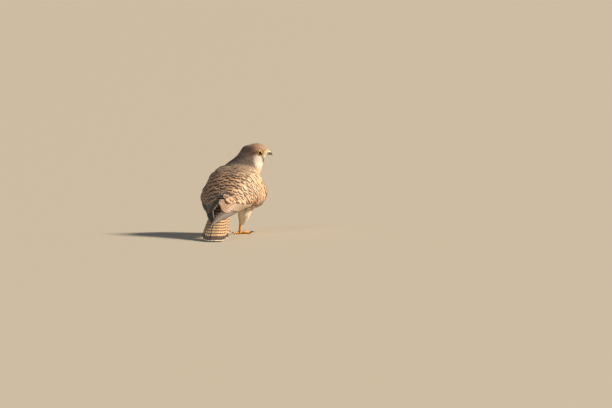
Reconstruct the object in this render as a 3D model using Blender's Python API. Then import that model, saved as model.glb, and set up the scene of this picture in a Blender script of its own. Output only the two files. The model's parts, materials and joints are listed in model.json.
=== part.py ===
"""Common kestrel, female, life size, standing and looking to its right.

Metres, +Z up. The bird heads along +Y, its right side is +X, and the floor is z = 0.
Lengths below are in millimetres unless a name ends in _M; the function m() turns them to metres.
"""

import math

import bmesh
import bpy
from mathutils import Matrix, Vector

# ---------------------------------------------------------------- driving sizes (mm)
GAP = 0.3                 # clearance between neighbouring solids
TAIL_LENGTH = 165.0       # central rectrix, root to tip
TAIL_OUTER_SHORT = 25.0   # the outermost rectrix ends this much short
TAIL_SLOPE = math.radians(22.0)
TAIL_SWING = math.radians(10.0)   # to the bird's right
TAIL_ROOT = (0.0, -56.0, 62.4)
TAIL_HALF_ROOT, TAIL_HALF_END = 19.0, 29.5
TAIL_THICK = 2.6
TAIL_ROOF = 5.0           # the edges hang this much lower than the middle at the end
HEAD = (34.3, 80.4, 160.5)        # middle of the skull
HEAD_YAW = math.radians(60.0)     # turned right from the heading
HEAD_PITCH = math.radians(3.0)
EYE_R, EYE_SIDE, EYE_FRONT, EYE_UP = 7.0, 11.2, 1.9, -1.7   # ball radius and where its middle lies in the head
EYE_OUT = (0.94, 0.34, 0.04)      # the way the right eye faces in the head
BILL_ROOT, CERE_END = 20.6, 23.4  # distances along the head
FOOT_X, FOOT_Y = 18.0, 12.0       # where the toes meet
TARSUS_R = 2.5
TOES = {1: (13.5, 11.0), 2: (18.5, 11.5), 3: (28.0, 12.0), 4: (20.0, 10.5)}  # toe, claw length
TOE_TURN = {"right": 38.0, "left": 14.0}   # outward turn of the middle toe, degrees from the heading
TOE_SPREAD = {1: 178.0, 2: -36.0, 3: 0.0, 4: 38.0}  # from the middle toe, outwards


def m(v):
    return Vector(v) * 0.001


# ---------------------------------------------------------------- small maths
def smoothstep(a, b, x):
    t = min(1.0, max(0.0, (x - a) / (b - a)))
    return t * t * (3 - 2 * t)


def bend(y):
    """How far the sagittal plane lies to the right at y: breast and wing tips swing right."""
    return 3.2 * smoothstep(-25, 60, y) + 4.5 * (1 - smoothstep(-95, -35, y)) + 0.065 * max(0.0, -95.0 - y)


def smooth_max(a, b, k=2.0):
    return 0.5 * (a + b + math.sqrt((a - b) ** 2 + k * k))


def catmull(rows, t):
    """Row of numbers at t (0 to len-1) along the rows, on a Catmull-Rom curve."""
    n = len(rows)
    i = min(int(t), n - 2)
    f = t - i
    p0, p1, p2, p3 = rows[max(i - 1, 0)], rows[i], rows[i + 1], rows[min(i + 2, n - 1)]
    out = []
    for a, b, c, d in zip(p0, p1, p2, p3):
        out.append(0.5 * (2 * b + (c - a) * f + (2 * a - 5 * b + 4 * c - d) * f * f
                          + (3 * b - a - 3 * c + d) * f ** 3))
    return out


def resample(rows, steps):
    return [catmull(rows, k * (len(rows) - 1) / (steps - 1)) for k in range(steps)]


def oval(centre, right, up, half, high, low, n, power=2.0):
    """Ring of n points: a superellipse with its own upper and lower half heights."""
    ring = []
    for k in range(n):
        a = 2 * math.pi * k / n
        c, s = math.cos(a), math.sin(a)
        x = math.copysign(abs(c) ** (2 / power), c) * half
        z = math.copysign(abs(s) ** (2 / power), s) * (high if s > 0 else low)
        ring.append(Vector(centre) + Vector(right) * x + Vector(up) * z)
    return ring


def loft(name, rings):
    """Closed skin over rings of equal count, its ends closed by a fan."""
    bm = bmesh.new()
    made = [[bm.verts.new(m(p)) for p in ring] for ring in rings]
    n = len(rings[0])
    for a, b in zip(made, made[1:]):
        for k in range(n):
            bm.faces.new((a[k], a[(k + 1) % n], b[(k + 1) % n], b[k]))
    for ring, end in ((made[0], rings[0]), (made[-1], rings[-1])):
        mid = bm.verts.new(m(sum(end, Vector()) / n))
        for k in range(n):
            bm.faces.new((ring[k], ring[(k + 1) % n], mid))
    bmesh.ops.recalc_face_normals(bm, faces=bm.faces)
    return from_bmesh(name, bm)


def from_bmesh(name, bm):
    if bm.calc_volume(signed=True) < 0:
        bmesh.ops.reverse_faces(bm, faces=bm.faces)
    mesh = bpy.data.meshes.new(name)
    bm.to_mesh(mesh)
    bm.free()
    obj = bpy.data.objects.new(name, mesh)
    bpy.context.scene.collection.objects.link(obj)
    return obj


def settle(obj):
    """Applies the modifiers of obj to a mesh of its own."""
    bpy.context.view_layer.update()
    graph = bpy.context.evaluated_depsgraph_get()
    mesh = bpy.data.meshes.new_from_object(obj.evaluated_get(graph))
    obj.modifiers.clear()
    old, obj.data = obj.data, mesh
    bpy.data.meshes.remove(old)
    return obj


def join(name, objs):
    bm = bmesh.new()
    for o in objs:
        bm.from_mesh(o.data)
        bpy.data.objects.remove(o)
    return from_bmesh(name, bm)


def fuse(name, objs, voxel, smooth, triangles):
    """Several overlapping shapes become one smooth body of about this many triangles."""
    obj = join(name, objs)
    mod = obj.modifiers.new("remesh", "REMESH")
    mod.mode, mod.voxel_size = "VOXEL", voxel * 0.001
    if smooth:
        mod = obj.modifiers.new("smooth", "SMOOTH")
        mod.factor, mod.iterations = 0.5, smooth
    settle(obj)
    mod = obj.modifiers.new("thin", "DECIMATE")
    mod.ratio = triangles / (2 * len(obj.data.polygons))
    mod.use_collapse_triangulate = True
    return settle(obj)


def inflated(obj, by):
    """A helper copy of obj, grown by this many millimetres along its normals."""
    bm = bmesh.new()
    bm.from_mesh(obj.data)
    bm.normal_update()
    for v in bm.verts:
        v.co += v.normal * v.calc_shell_factor() * by * 0.001
    grown = from_bmesh(obj.name + "_room", bm)
    grown.hide_render = True
    grown.display_type = "WIRE"
    return grown


def cut(obj, *others, solver="EXACT"):
    """Takes the room of each other body out of obj."""
    for other in others:
        mod = obj.modifiers.new("room", "BOOLEAN")
        mod.operation, mod.object, mod.solver = "DIFFERENCE", other, solver
        settle(obj)
    return obj


def largest(obj):
    """Keeps the largest connected piece of obj."""
    bm = bmesh.new()
    bm.from_mesh(obj.data)
    bmesh.ops.remove_doubles(bm, verts=bm.verts, dist=1e-6)
    left, pieces = set(bm.verts), []
    while left:
        seed = left.pop()
        group, stack = {seed}, [seed]
        while stack:
            for e in stack.pop().link_edges:
                for v in e.verts:
                    if v in left:
                        left.discard(v)
                        group.add(v)
                        stack.append(v)
        pieces.append(group)
    keep = max(pieces, key=len)
    bmesh.ops.delete(bm, geom=[v for v in bm.verts if v not in keep], context="VERTS")
    bmesh.ops.recalc_face_normals(bm, faces=bm.faces)
    old = obj.data
    mesh = bpy.data.meshes.new(obj.name)
    if bm.calc_volume(signed=True) < 0:
        bmesh.ops.reverse_faces(bm, faces=bm.faces)
    bm.to_mesh(mesh)
    bm.free()
    obj.data = mesh
    bpy.data.meshes.remove(old)
    return obj


def sliced(name, obj, point, normal, gap=GAP / 2):
    """A copy of obj, keeping what lies on the normal's side of a plane, stepped back by gap."""
    normal = Vector(normal).normalized()
    bm = bmesh.new()
    bm.from_mesh(obj.data)
    bmesh.ops.bisect_plane(bm, geom=bm.verts[:] + bm.edges[:] + bm.faces[:], dist=1e-7,
                           plane_co=m(Vector(point) + normal * gap), plane_no=-normal, clear_outer=True)
    rim = [e for e in bm.edges if e.is_boundary]
    bmesh.ops.triangle_fill(bm, edges=rim, use_beauty=True)
    bmesh.ops.recalc_face_normals(bm, faces=bm.faces)
    return from_bmesh(name, bm)


# ---------------------------------------------------------------- head frame
FORE = Vector((math.sin(HEAD_YAW) * math.cos(HEAD_PITCH), math.cos(HEAD_YAW) * math.cos(HEAD_PITCH), math.sin(HEAD_PITCH)))
SIDE = FORE.cross(Vector((0, 0, 1))).normalized()   # the head's right
TOP = SIDE.cross(FORE).normalized()


def in_head(x, y, z):
    """Point of the head: x to its right, y towards the bill, z up."""
    return Vector(HEAD) + SIDE * x + FORE * y + TOP * z


# y along the head, half width, top, bottom
SKULL = [
    (21.9, 4.0, 3.4, -5.6), (20.6, 5.6, 5.8, -7.4), (18.0, 8.2, 10.0, -10.0), (14.0, 11.4, 14.0, -13.0),
    (9.0, 14.4, 16.7, -15.5), (3.0, 17.0, 18.2, -17.5), (-4.0, 18.7, 18.4, -19.5), (-11.0, 18.8, 17.2, -21.5),
    (-17.5, 17.0, 14.6, -22.0), (-23.0, 13.0, 10.4, -20.0), (-27.0, 7.5, 4.5, -16.0), (-28.8, 2.5, -2.0, -11.0),
]


def make_skull():
    rings = []
    for y, half, top, low in resample(SKULL, 24):
        mid = (top + low) / 2 - 1.0
        ring = oval((0, 0, 0), (1, 0, 0), (0, 0, 1), half, top - mid, mid - low, 28, 2.2)
        out = []
        for p in ring:
            q = Vector((p.x, y, p.z + mid))
            # eye hollow and the brow above it
            for s in (-1, 1):
                d = math.hypot(y - EYE_FRONT, q.z - EYE_UP)
                if q.x * s > 0:
                    q.x -= s * 1.1 * math.exp(-(d / 5.0) ** 2)
                    brow = math.exp(-((q.z - EYE_UP - 6.4) / 2.0) ** 2 - ((y - EYE_FRONT - 0.5) / 8.0) ** 2)
                    q.x += s * 1.3 * brow
            out.append(in_head(q.x, q.y, q.z))
        rings.append(out)
    return loft("skull", rings)


# ---------------------------------------------------------------- trunk and neck
# y, half width, bottom z, top z
TRUNK = [
    (-73, 5, 60, 68), (-68, 13, 56, 74), (-58, 21.5, 52, 81), (-40, 31.5, 49, 97), (-20, 40.5, 47.5, 114.5),
    (0, 46.5, 47, 128.5), (20, 50, 48, 137), (40, 50.5, 52, 138.5), (58, 47, 61, 134), (72, 37, 74, 123),
    (81, 23, 88, 110), (85, 8, 96, 103),
]
BOXY = 2.6   # roundness of the trunk's section: 2 is an ellipse


def trunk_row(y):
    """Half width, bottom and top of the trunk at y."""
    if y <= TRUNK[0][0] or y >= TRUNK[-1][0]:
        return None
    for k, (a, b) in enumerate(zip(TRUNK, TRUNK[1:])):
        if a[0] <= y <= b[0]:
            return catmull(TRUNK, k + (y - a[0]) / (b[0] - a[0]))[1:]


def trunk_half(y, z):
    """Half width of the trunk at y and z, or 0 outside it."""
    row = trunk_row(y)
    if row is None:
        return 0.0
    half, low, top = row
    wide = low + 0.46 * (top - low)
    f = (z - wide) / (top - wide) if z > wide else (wide - z) / (wide - low)
    return half * (1 - f ** BOXY) ** (1 / BOXY) if f < 1 else 0.0


def make_trunk():
    rings = []
    for y, half, low, top in resample(TRUNK, 30):
        wide = low + 0.46 * (top - low)
        rings.append(oval((bend(y), y, wide), (1, 0, 0), (0, 0, 1), half, top - wide, wide - low, 36, BOXY))
    return loft("trunk_shape", rings)


# centre x y z, long half, short half, and the way the long one points, degrees right of the heading
NECK = [
    (6, 42, 98, 42, 34, 88), (5, 49, 118, 44.5, 33, 82), (13.9, 62, 137, 38.5, 28, 74), (22.6, 71.5, 151, 30.5, 19.5, 68),
    (25.0, 75.5, 161, 26.0, 13.0, 62), (21.8, 73.2, 168, 18.0, 12, 60), (19.6, 71.8, 173, 10.5, 8.5, 60), (19.6, 71.4, 175.4, 4.5, 4, 60),
]


def make_neck():
    rings = []
    for x, y, z, long, short, turn in resample(NECK, 20):
        t = math.radians(turn)
        ahead = Vector((math.sin(t), math.cos(t), 0))
        rings.append(oval((x, y, z), ahead, Vector((-ahead.y, ahead.x, 0)), long, short, short, 32, 2.1))
    return loft("neck_shape", rings)


# ---------------------------------------------------------------- wings
# y, lower edge x z, upper edge x z, outward bow, thickness
WING = [
    (74, 41, 79, 38, 91, 3.5, 6), (69, 46, 71, 40, 99, 8.5, 10), (59, 49.5, 62.5, 39, 109, 14.5, 14), (42, 51.5, 56, 35, 119, 18.5, 16),
    (18, 50, 52.5, 28, 124, 20.5, 17), (-10, 46.5, 51, 21, 112, 23.0, 16), (-40, 40.5, 47.5, 10, 96, 18.0, 13),
    (-70, 33.0, 43.0, 3.5, 81, 10.5, 7), (-100, 25.0, 38.0, 1.0, 63, 7.5, 4.4), (-130, 13.0, 31.5, -0.5, 46.5, 3.6, 3.2),
    (-150, 5.5, 27.5, -2.0, 34.0, 1.6, 2.4), (-162, 1.6, 25.6, -1.6, 27.0, 0.3, 1.6),
]
WING_TIP_SHIFT = {"right": -2.0, "left": 2.0}   # the right wing's tip crosses over the left one
WING_PROUD = 2.6      # the wing stands at least this much out from the trunk
WING_LIFT = {"right": 2.2, "left": 0.0}


def wing_point(side, row, v):
    """Outer face of the folded wing: v runs from its lower edge (0) to its upper edge (1)."""
    y, xl, zl, xu, zu, bow, thick = row
    rear = smoothstep(-70, -160, y)
    z = zl + (zu - zl) * v
    x = xl + (xu - xl) * v + 4 * bow * v * (1 - v)
    trunk = trunk_half(y, z)
    if trunk > 0:
        lean = trunk_half(y, z - 0.5) - trunk_half(y, z + 0.5)
        x = smooth_max(x, trunk + WING_PROUD * min(3.5, math.hypot(1.0, lean)))
    slope = Vector((zu - zl, 0, xl - xu)).normalized()
    inward = Vector((-slope.x, 0, -slope.z))
    p = Vector((x, y, z + WING_LIFT[side] * smoothstep(-85, -140, y)))
    p.x += WING_TIP_SHIFT[side] * rear if side == "right" else -WING_TIP_SHIFT[side] * rear
    if side == "left":
        p.x, inward.x = -p.x, -inward.x
    p.x += bend(y)
    return p, inward


def make_wing(side):
    rings = []
    n = 8
    for row in resample(WING, 23):
        outer, inner = [], []
        for k in range(n):
            v = k / (n - 1)
            p, inward = wing_point(side, row, v)
            outer.append(p)
            inner.append(p + inward * row[6] * (0.42 + 0.58 * math.sin(math.pi * (0.06 + 0.88 * v))))
        rings.append(outer + inner[::-1])
    return loft("wing_" + side, rings)


# ---------------------------------------------------------------- tail
def tail_point(s, w, up=0.0):
    """s millimetres along the tail, w to the right of its middle, up above its sheet."""
    ahead = Vector((math.sin(TAIL_SWING), -math.cos(TAIL_SWING), 0))
    right = Vector((math.cos(TAIL_SWING), math.sin(TAIL_SWING), 0))
    along = ahead * math.cos(TAIL_SLOPE) - Vector((0, 0, 1)) * math.sin(TAIL_SLOPE)
    normal = (right.cross(along)).normalized()
    if normal.z < 0:
        normal = -normal
    roof = TAIL_ROOF * (w / TAIL_HALF_END) ** 2
    return Vector(TAIL_ROOT) + along * s + right * w + normal * (up - roof)


def tail_half(s):
    return TAIL_HALF_ROOT + (TAIL_HALF_END - TAIL_HALF_ROOT) * (max(0.0, s) / TAIL_LENGTH) ** 0.8


def make_tail():
    """A thin roofed sheet with a rounded, graduated end."""
    bm = bmesh.new()
    along, across = 10, 8
    top, under = [], []
    for i in range(along + 1):
        row_t, row_u = [], []
        for j in range(across + 1):
            f = 2 * j / across - 1
            reach = TAIL_LENGTH - TAIL_OUTER_SHORT * abs(f) ** 2.2
            s = -12 + (reach + 12) * i / along
            w = f * tail_half(s)
            thick = TAIL_THICK * (1 - 0.45 * abs(f) ** 3) * (1.25 - 0.55 * i / along)
            row_t.append(bm.verts.new(m(tail_point(s, w, thick / 2))))
            row_u.append(bm.verts.new(m(tail_point(s, w, -thick / 2))))
        top.append(row_t)
        under.append(row_u)
    for i in range(along):
        for j in range(across):
            bm.faces.new((top[i][j], top[i][j + 1], top[i + 1][j + 1], top[i + 1][j]))
            bm.faces.new((under[i][j], under[i + 1][j], under[i + 1][j + 1], under[i][j + 1]))
    for i in range(along):
        for j in (0, across):
            bm.faces.new((top[i][j], top[i + 1][j], under[i + 1][j], under[i][j]))
    for j in range(across):
        for i in (0, along):
            bm.faces.new((top[i][j], top[i][j + 1], under[i][j + 1], under[i][j]))
    bmesh.ops.recalc_face_normals(bm, faces=bm.faces)
    return from_bmesh("tail_shape", bm)


# ---------------------------------------------------------------- legs
def leg_x(side, x):
    return x if side == "right" else -x


# centre x y z, half width, half depth: trouser feathers from the flank to the upper tarsus
THIGH = [
    (30, 26, 76, 14, 22), (31, 25, 64, 15.5, 22.5), (30.3, 20, 53, 15.2, 22.0), (27.6, 14.2, 43, 14.6, 19.4), (26.6, 11.6, 35, 11.8, 14.0),
    (25.8, 10.0, 28, 9.0, 9.6), (24.4, 8.8, 21.5, 6.0, 6.0), (23.6, 8.4, 18, 2.8, 3.0),
]


def make_thigh(side):
    rings = []
    for x, y, z, a, b in resample(THIGH, 13):
        rings.append(oval((leg_x(side, x), y, z), (1, 0, 0), (0, 1, 0), a, b, b, 14, 2.0))
    return loft("thigh_" + side, rings)


def toe_frame(side, toe):
    sign = 1 if side == "right" else -1
    heading = math.radians(sign * (TOE_TURN[side] + TOE_SPREAD[toe]))
    ahead = Vector((math.sin(heading), math.cos(heading), 0))
    return ahead, Vector((ahead.y, -ahead.x, 0))


def toe_joint(side):
    return Vector((leg_x(side, FOOT_X), FOOT_Y, 3.4))


def toe_path(side, toe):
    """Centre, half width and half height along one toe: pads swell between the joints."""
    ahead, across = toe_frame(side, toe)
    length = TOES[toe][0]
    pads = {1: 1, 2: 2, 3: 3, 4: 3}[toe]
    start = toe_joint(side)
    rows = []
    for k in range(13):
        f = k / 12
        swell = 0.5 - 0.5 * math.cos(2 * math.pi * pads * f)
        arch = 1.1 * math.sin(math.pi * f) * (1 - f)
        r = 2.15 - 0.45 * f + 0.28 * swell
        z = 2.0 + arch - 0.2 * f
        rows.append((start + ahead * (length * f) + Vector((0, 0, z - start.z)), r * 1.02, r))
    return rows, ahead, across


def make_foot(side):
    parts = []
    foot = toe_joint(side)
    ankle = Vector((leg_x(side, 21.5), -2.5, 42.0))
    along = (foot - ankle).normalized()
    across = Vector((1, 0, 0))
    across = (across - along * across.dot(along)).normalized()
    rings = []
    for k in range(9):
        f = k / 8
        r = TARSUS_R * (1.06 - 0.22 * math.sin(math.pi * f) ** 1.5 + 0.14 * f)
        rings.append(oval(ankle.lerp(foot, f), across, along.cross(across), r * 0.92, r * 1.12, r * 1.12, 12))
    parts.append(loft("tarsus", rings))
    knob = [oval(foot + Vector((0, 0, z)), (1, 0, 0), (0, 1, 0), r, r, r, 12)
            for z, r in ((-2.9, 1.8), (-2.0, 3.2), (-0.5, 3.9), (1.2, 3.6), (2.6, 2.4), (3.2, 1.0))]
    parts.append(loft("knob", knob))
    for toe in TOES:
        rows, ahead, across_t = toe_path(side, toe)
        rings = [oval(c, across_t, (0, 0, 1), a, b, b, 10) for c, a, b in rows]
        end, a, b = rows[-1]
        rings.append(oval(end + ahead * 1.0, across_t, (0, 0, 1), a * 0.72, b * 0.72, b * 0.72, 10))
        parts.append(loft("toe", rings))
    body = fuse("foot_shape_" + side, parts, 0.42, 4, 440)
    flat = sliced("foot_" + side, body, (0, 0, 0), (0, 0, 1), gap=0.0)
    bpy.data.objects.remove(body)
    return flat


def make_claw(side, toe):
    """A curved horn cone from inside the toe's end down to just above the floor."""
    rows, ahead, across = toe_path(side, toe)
    end = rows[-1][0]
    reach = TOES[toe][1]
    rings = []
    turn = math.radians(96)
    radius = reach / turn
    for k in range(7):
        f = k / 6
        a = math.radians(44) - turn * f
        # arc that rises a little and then comes down to the tip
        y = radius * (math.sin(math.radians(44)) - math.sin(a))
        z = radius * (math.cos(a) - math.cos(math.radians(44)))
        c = end - ahead * 1.2 + ahead * y * 1.0 + Vector((0, 0, 0.1 + z))
        direction = (ahead * math.cos(a) + Vector((0, 0, math.sin(a)))).normalized()
        r = 1.3 * (1 - f) ** 0.75 + 0.22
        up = across.cross(direction).normalized()
        rings.append(oval(c, across, up, r * 0.8, r * 1.15, r * 1.15, 6))
    low = min(p.z for ring in rings for p in ring)
    lift = max(0.0, 0.05 - low)
    rings = [[p + Vector((0, 0, lift)) for p in ring] for ring in rings]
    return loft("claw_%s_%d" % (side, toe), rings)


# ---------------------------------------------------------------- bill and eyes
# along the head, up, half width, half height: centre line of the upper mandible
UPPER = [
    (19.6, -1.2, 5.6, 4.6), (21.4, -1.3, 5.2, 4.5), (23.4, -1.6, 4.6, 4.1), (25.6, -2.4, 3.9, 3.5), (27.8, -3.7, 3.1, 2.8),
    (29.6, -5.4, 2.2, 2.1), (30.6, -7.1, 1.4, 1.4), (31.1, -8.5, 0.75, 0.75), (31.3, -9.4, 0.35, 0.35),
]
LOWER = [
    (19.6, -6.4, 4.8, 1.9), (22.0, -6.6, 4.2, 1.7), (24.4, -6.9, 3.3, 1.4), (26.4, -7.2, 2.3, 1.1), (28.0, -7.4, 1.2, 0.7),
]


def make_mandible(name, table, steps, flat_top, flat_low):
    rows = resample(table, steps)
    rings = []
    for k, (y, z, a, b) in enumerate(rows):
        p, q = rows[max(k - 1, 0)], rows[min(k + 1, len(rows) - 1)]
        slope = math.atan2(q[1] - p[1], q[0] - p[0]) if flat_top == 1.0 else 0.0
        up = TOP * math.cos(slope) - FORE * math.sin(slope)
        rings.append(oval(in_head(0, y, z), SIDE, up, a, b * flat_top, b * flat_low, 14, 2.1))
    return loft(name, rings)


def make_eye(side):
    s = 1 if side == "right" else -1
    bm = bmesh.new()
    bmesh.ops.create_uvsphere(bm, u_segments=16, v_segments=10, radius=EYE_R * 0.001)
    out = (SIDE * s * EYE_OUT[0] + FORE * EYE_OUT[1] + TOP * EYE_OUT[2]).normalized()
    turn = Vector((0, 0, 1)).rotation_difference(out).to_matrix().to_4x4()
    bmesh.ops.transform(bm, matrix=Matrix.Translation(m(in_head(EYE_SIDE * s, EYE_FRONT, EYE_UP))) @ turn, verts=bm.verts)
    # a lens-shaped front: the ball is cut behind its widest ring
    centre = in_head(EYE_SIDE * s, EYE_FRONT, EYE_UP)
    ball = from_bmesh("ball", bm)
    lens = sliced("eye_" + side, ball, centre - out * 1.0, out, gap=0.0)
    bpy.data.objects.remove(ball)
    return lens


# ---------------------------------------------------------------- materials
def material(name, colour, rough, metallic=0.0):
    mat = bpy.data.materials.new(name)
    mat.use_nodes = True
    shader = mat.node_tree.nodes["Principled BSDF"]
    shader.inputs["Base Color"].default_value = (*colour, 1.0)
    shader.inputs["Roughness"].default_value = rough
    shader.inputs["Metallic"].default_value = metallic
    return mat


LOOKS = {
    "rufous_back": ((0.42, 0.23, 0.13), 0.75), "crown_brown": ((0.40, 0.26, 0.17), 0.75), "nape_buff": ((0.52, 0.36, 0.23), 0.75),
    "wing_rufous": ((0.40, 0.22, 0.12), 0.7), "wing_rufous_left": ((0.38, 0.21, 0.12), 0.7), "tail_barred": ((0.45, 0.27, 0.15), 0.7),
    "thigh_buff": ((0.72, 0.57, 0.40), 0.8), "skin_yellow": ((0.83, 0.52, 0.10), 0.45), "cere_yellow": ((0.85, 0.62, 0.15), 0.4),
    "horn_blue": ((0.24, 0.27, 0.32), 0.3), "horn_pale": ((0.42, 0.42, 0.40), 0.35), "eye_dark": ((0.02, 0.012, 0.008), 0.05),
    "claw_black": ((0.02, 0.02, 0.022), 0.25),
}


def dress(obj, look):
    colour, rough = LOOKS[look]
    mat = bpy.data.materials.get(obj.name) or material(obj.name, colour, rough)
    obj.data.materials.clear()
    obj.data.materials.append(mat)
    for p in obj.data.polygons:
        p.use_smooth = True
    obj.data.set_sharp_from_angle(angle=math.radians(40))


# ---------------------------------------------------------------- assembly
def main():
    for obj in list(bpy.data.objects):
        bpy.data.objects.remove(obj)

    body = fuse("body", [make_trunk(), make_neck(), make_skull()], 1.1, 7, 2050)
    neck_low = (Vector((8, 46, 122)), Vector((0.34, 0.50, 0.80)))
    neck_high = (Vector((23.5, 70.0, 148.5)), Vector((0.52, 0.40, 0.76)))
    bill_cut = in_head(0, BILL_ROOT, 0)

    tail_blank = make_tail()
    tail_flat = sliced("tail", tail_blank, (0, 0, 0), (0, 0, 1), gap=0.0)
    bpy.data.objects.remove(tail_blank)
    body_room = inflated(body, GAP)
    tail = largest(cut(tail_flat, body_room))
    tail_room = inflated(tail, GAP)

    wings = {}
    for side in ("left", "right"):
        wings[side] = make_wing(side)
        cut(wings[side], body_room, tail_room)
        if side == "right":
            room = inflated(wings["left"], GAP)
            cut(wings[side], room)
            bpy.data.objects.remove(room)
        largest(wings[side])

    thighs, feet = {}, {}
    for side in ("left", "right"):
        thighs[side] = make_thigh(side)
        wing_room = inflated(wings[side], GAP)
        largest(cut(thighs[side], body_room, wing_room))
        bpy.data.objects.remove(wing_room)
        thigh_room = inflated(thighs[side], GAP)
        feet[side] = largest(cut(make_foot(side), thigh_room))
        foot_room = inflated(feet[side], GAP)
        for toe in TOES:
            dress(largest(cut(make_claw(side, toe), foot_room)), "claw_black")
        bpy.data.objects.remove(thigh_room)
        bpy.data.objects.remove(foot_room)

    for side in ("left", "right"):
        eye = make_eye(side)
        room = inflated(eye, GAP)
        cut(body, room)
        bpy.data.objects.remove(room)
        dress(eye, "eye_dark")

    # the body parted into trunk, neck and head; the head ends flat where the cere begins
    trunk = sliced("trunk", body, neck_low[0], -neck_low[1])
    rest = sliced("rest", body, neck_low[0], neck_low[1])
    neck = sliced("neck", rest, neck_high[0], -neck_high[1])
    rest2 = sliced("rest2", rest, neck_high[0], neck_high[1])
    head = sliced("head", rest2, bill_cut, -FORE)
    for o in (rest, rest2, body):
        bpy.data.objects.remove(o)
    for o in (trunk, neck, head):
        largest(o)

    upper = make_mandible("upper", UPPER, 11, 1.0, 0.86)
    for name, way in (("cere", -1), ("bill_upper", 1)):
        piece = sliced(name, upper, in_head(0, CERE_END, 0), FORE * way)
        if name == "cere":
            front = sliced("front", piece, bill_cut, FORE)
            bpy.data.objects.remove(piece)
            front.name = "cere"
    bpy.data.objects.remove(upper)
    lower = make_mandible("lower", LOWER, 7, 0.5, 1.0)
    piece = sliced("bill_lower", lower, bill_cut, FORE)
    bpy.data.objects.remove(lower)
    room = [inflated(bpy.data.objects[n], GAP) for n in ("cere", "bill_upper")]
    largest(cut(piece, *room))
    for o in room:
        bpy.data.objects.remove(o)

    for obj, look in ((trunk, "rufous_back"), (neck, "nape_buff"), (head, "crown_brown"), (tail, "tail_barred"),
                      (wings["left"], "wing_rufous_left"), (wings["right"], "wing_rufous"), (thighs["left"], "thigh_buff"),
                      (thighs["right"], "thigh_buff"), (feet["left"], "skin_yellow"), (feet["right"], "skin_yellow"),
                      (bpy.data.objects["cere"], "cere_yellow"), (bpy.data.objects["bill_upper"], "horn_blue"),
                      (bpy.data.objects["bill_lower"], "horn_pale")):
        dress(obj, look)
    for o in (body_room, tail_room):
        bpy.data.objects.remove(o)

    # origin: middle of the whole bird's box, on the floor
    shown = [o for o in bpy.data.objects if o.type == "MESH"]
    low = [min(v.co[i] for o in shown for v in o.data.vertices) for i in range(3)]
    high = [max(v.co[i] for o in shown for v in o.data.vertices) for i in range(3)]
    shift = Vector((-(low[0] + high[0]) / 2, -(low[1] + high[1]) / 2, -low[2]))
    for o in shown:
        o.data.transform(Matrix.Translation(shift))
    print("shift", tuple(round(x, 6) for x in shift))


main()
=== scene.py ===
"""Common kestrel, female: one skin, vanes over it, flight feathers, bill, eyes and feet.

Shapes are worked out in the bird's own frame, in millimetres: +Y the way it heads, +X its right, floor at 0.
"""

import json
import math

import bmesh
import bpy
import numpy as np
from mathutils import Matrix, Vector
from mathutils.bvhtree import BVHTree
from mathutils.kdtree import KDTree

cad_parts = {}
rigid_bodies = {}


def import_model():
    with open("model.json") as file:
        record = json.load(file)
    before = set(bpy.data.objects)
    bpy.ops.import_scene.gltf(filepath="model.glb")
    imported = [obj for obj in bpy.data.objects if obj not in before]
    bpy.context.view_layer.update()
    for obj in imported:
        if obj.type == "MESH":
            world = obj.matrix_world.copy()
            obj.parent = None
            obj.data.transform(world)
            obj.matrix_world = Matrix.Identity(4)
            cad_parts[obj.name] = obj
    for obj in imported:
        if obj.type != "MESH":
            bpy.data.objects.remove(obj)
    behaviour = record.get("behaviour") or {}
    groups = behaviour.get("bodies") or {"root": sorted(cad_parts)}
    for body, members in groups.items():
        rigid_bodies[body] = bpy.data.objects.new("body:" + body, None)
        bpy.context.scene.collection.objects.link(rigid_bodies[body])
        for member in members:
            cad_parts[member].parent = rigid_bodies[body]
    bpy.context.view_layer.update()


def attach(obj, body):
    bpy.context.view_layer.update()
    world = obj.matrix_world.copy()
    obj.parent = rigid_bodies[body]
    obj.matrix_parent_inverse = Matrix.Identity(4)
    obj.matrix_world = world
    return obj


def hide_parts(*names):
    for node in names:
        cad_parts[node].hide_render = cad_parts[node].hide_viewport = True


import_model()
SHIFT = np.array([-2.83, 54.521, 0.0])      # from the bird's frame to the row's
RNG = np.random.RandomState(11)


def world(p):
    return (np.asarray(p, float) + SHIFT) * 0.001


def bird(p):
    return np.asarray(p, float) * 1000.0 - SHIFT


def smooth(a, b, x):
    t = np.clip((np.asarray(x, float) - a) / (b - a), 0.0, 1.0)
    return t * t * (3 - 2 * t)


def unit(v):
    v = np.asarray(v, float)
    return v / np.maximum(np.linalg.norm(v, axis=-1, keepdims=True), 1e-9)


def lin(*rgb):
    """A display colour, 0 to 255, as linear light."""
    c = np.asarray(rgb, float) / 255.0
    return np.where(c <= 0.04045, c / 12.92, ((c + 0.055) / 1.055) ** 2.4)


# ------------------------------------------------------------------ the solid's own measures
TAIL_LENGTH, TAIL_OUTER_SHORT = 165.0, 25.0
TAIL_SLOPE, TAIL_SWING = math.radians(22.0), math.radians(10.0)
TAIL_ROOT = np.array([0.0, -56.0, 62.4])
TAIL_HALF_ROOT, TAIL_HALF_END, TAIL_ROOF = 19.0, 29.5, 5.0
HEAD = np.array([34.3, 80.4, 160.5])
HEAD_YAW, HEAD_PITCH = math.radians(60.0), math.radians(3.0)
EYE_R, EYE_AT, EYE_OUT = 7.0, np.array([11.2, 1.9, -1.7]), np.array([0.94, 0.34, 0.04])
BILL_ROOT, CERE_END = 20.6, 23.4
FOOT_X, FOOT_Y = 18.0, 12.0
TOES = {1: (13.5, 11.0), 2: (18.5, 11.5), 3: (28.0, 12.0), 4: (20.0, 10.5)}
TOE_TURN = {"right": 38.0, "left": 14.0}
TOE_SPREAD = {1: 178.0, 2: -36.0, 3: 0.0, 4: 38.0}

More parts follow.
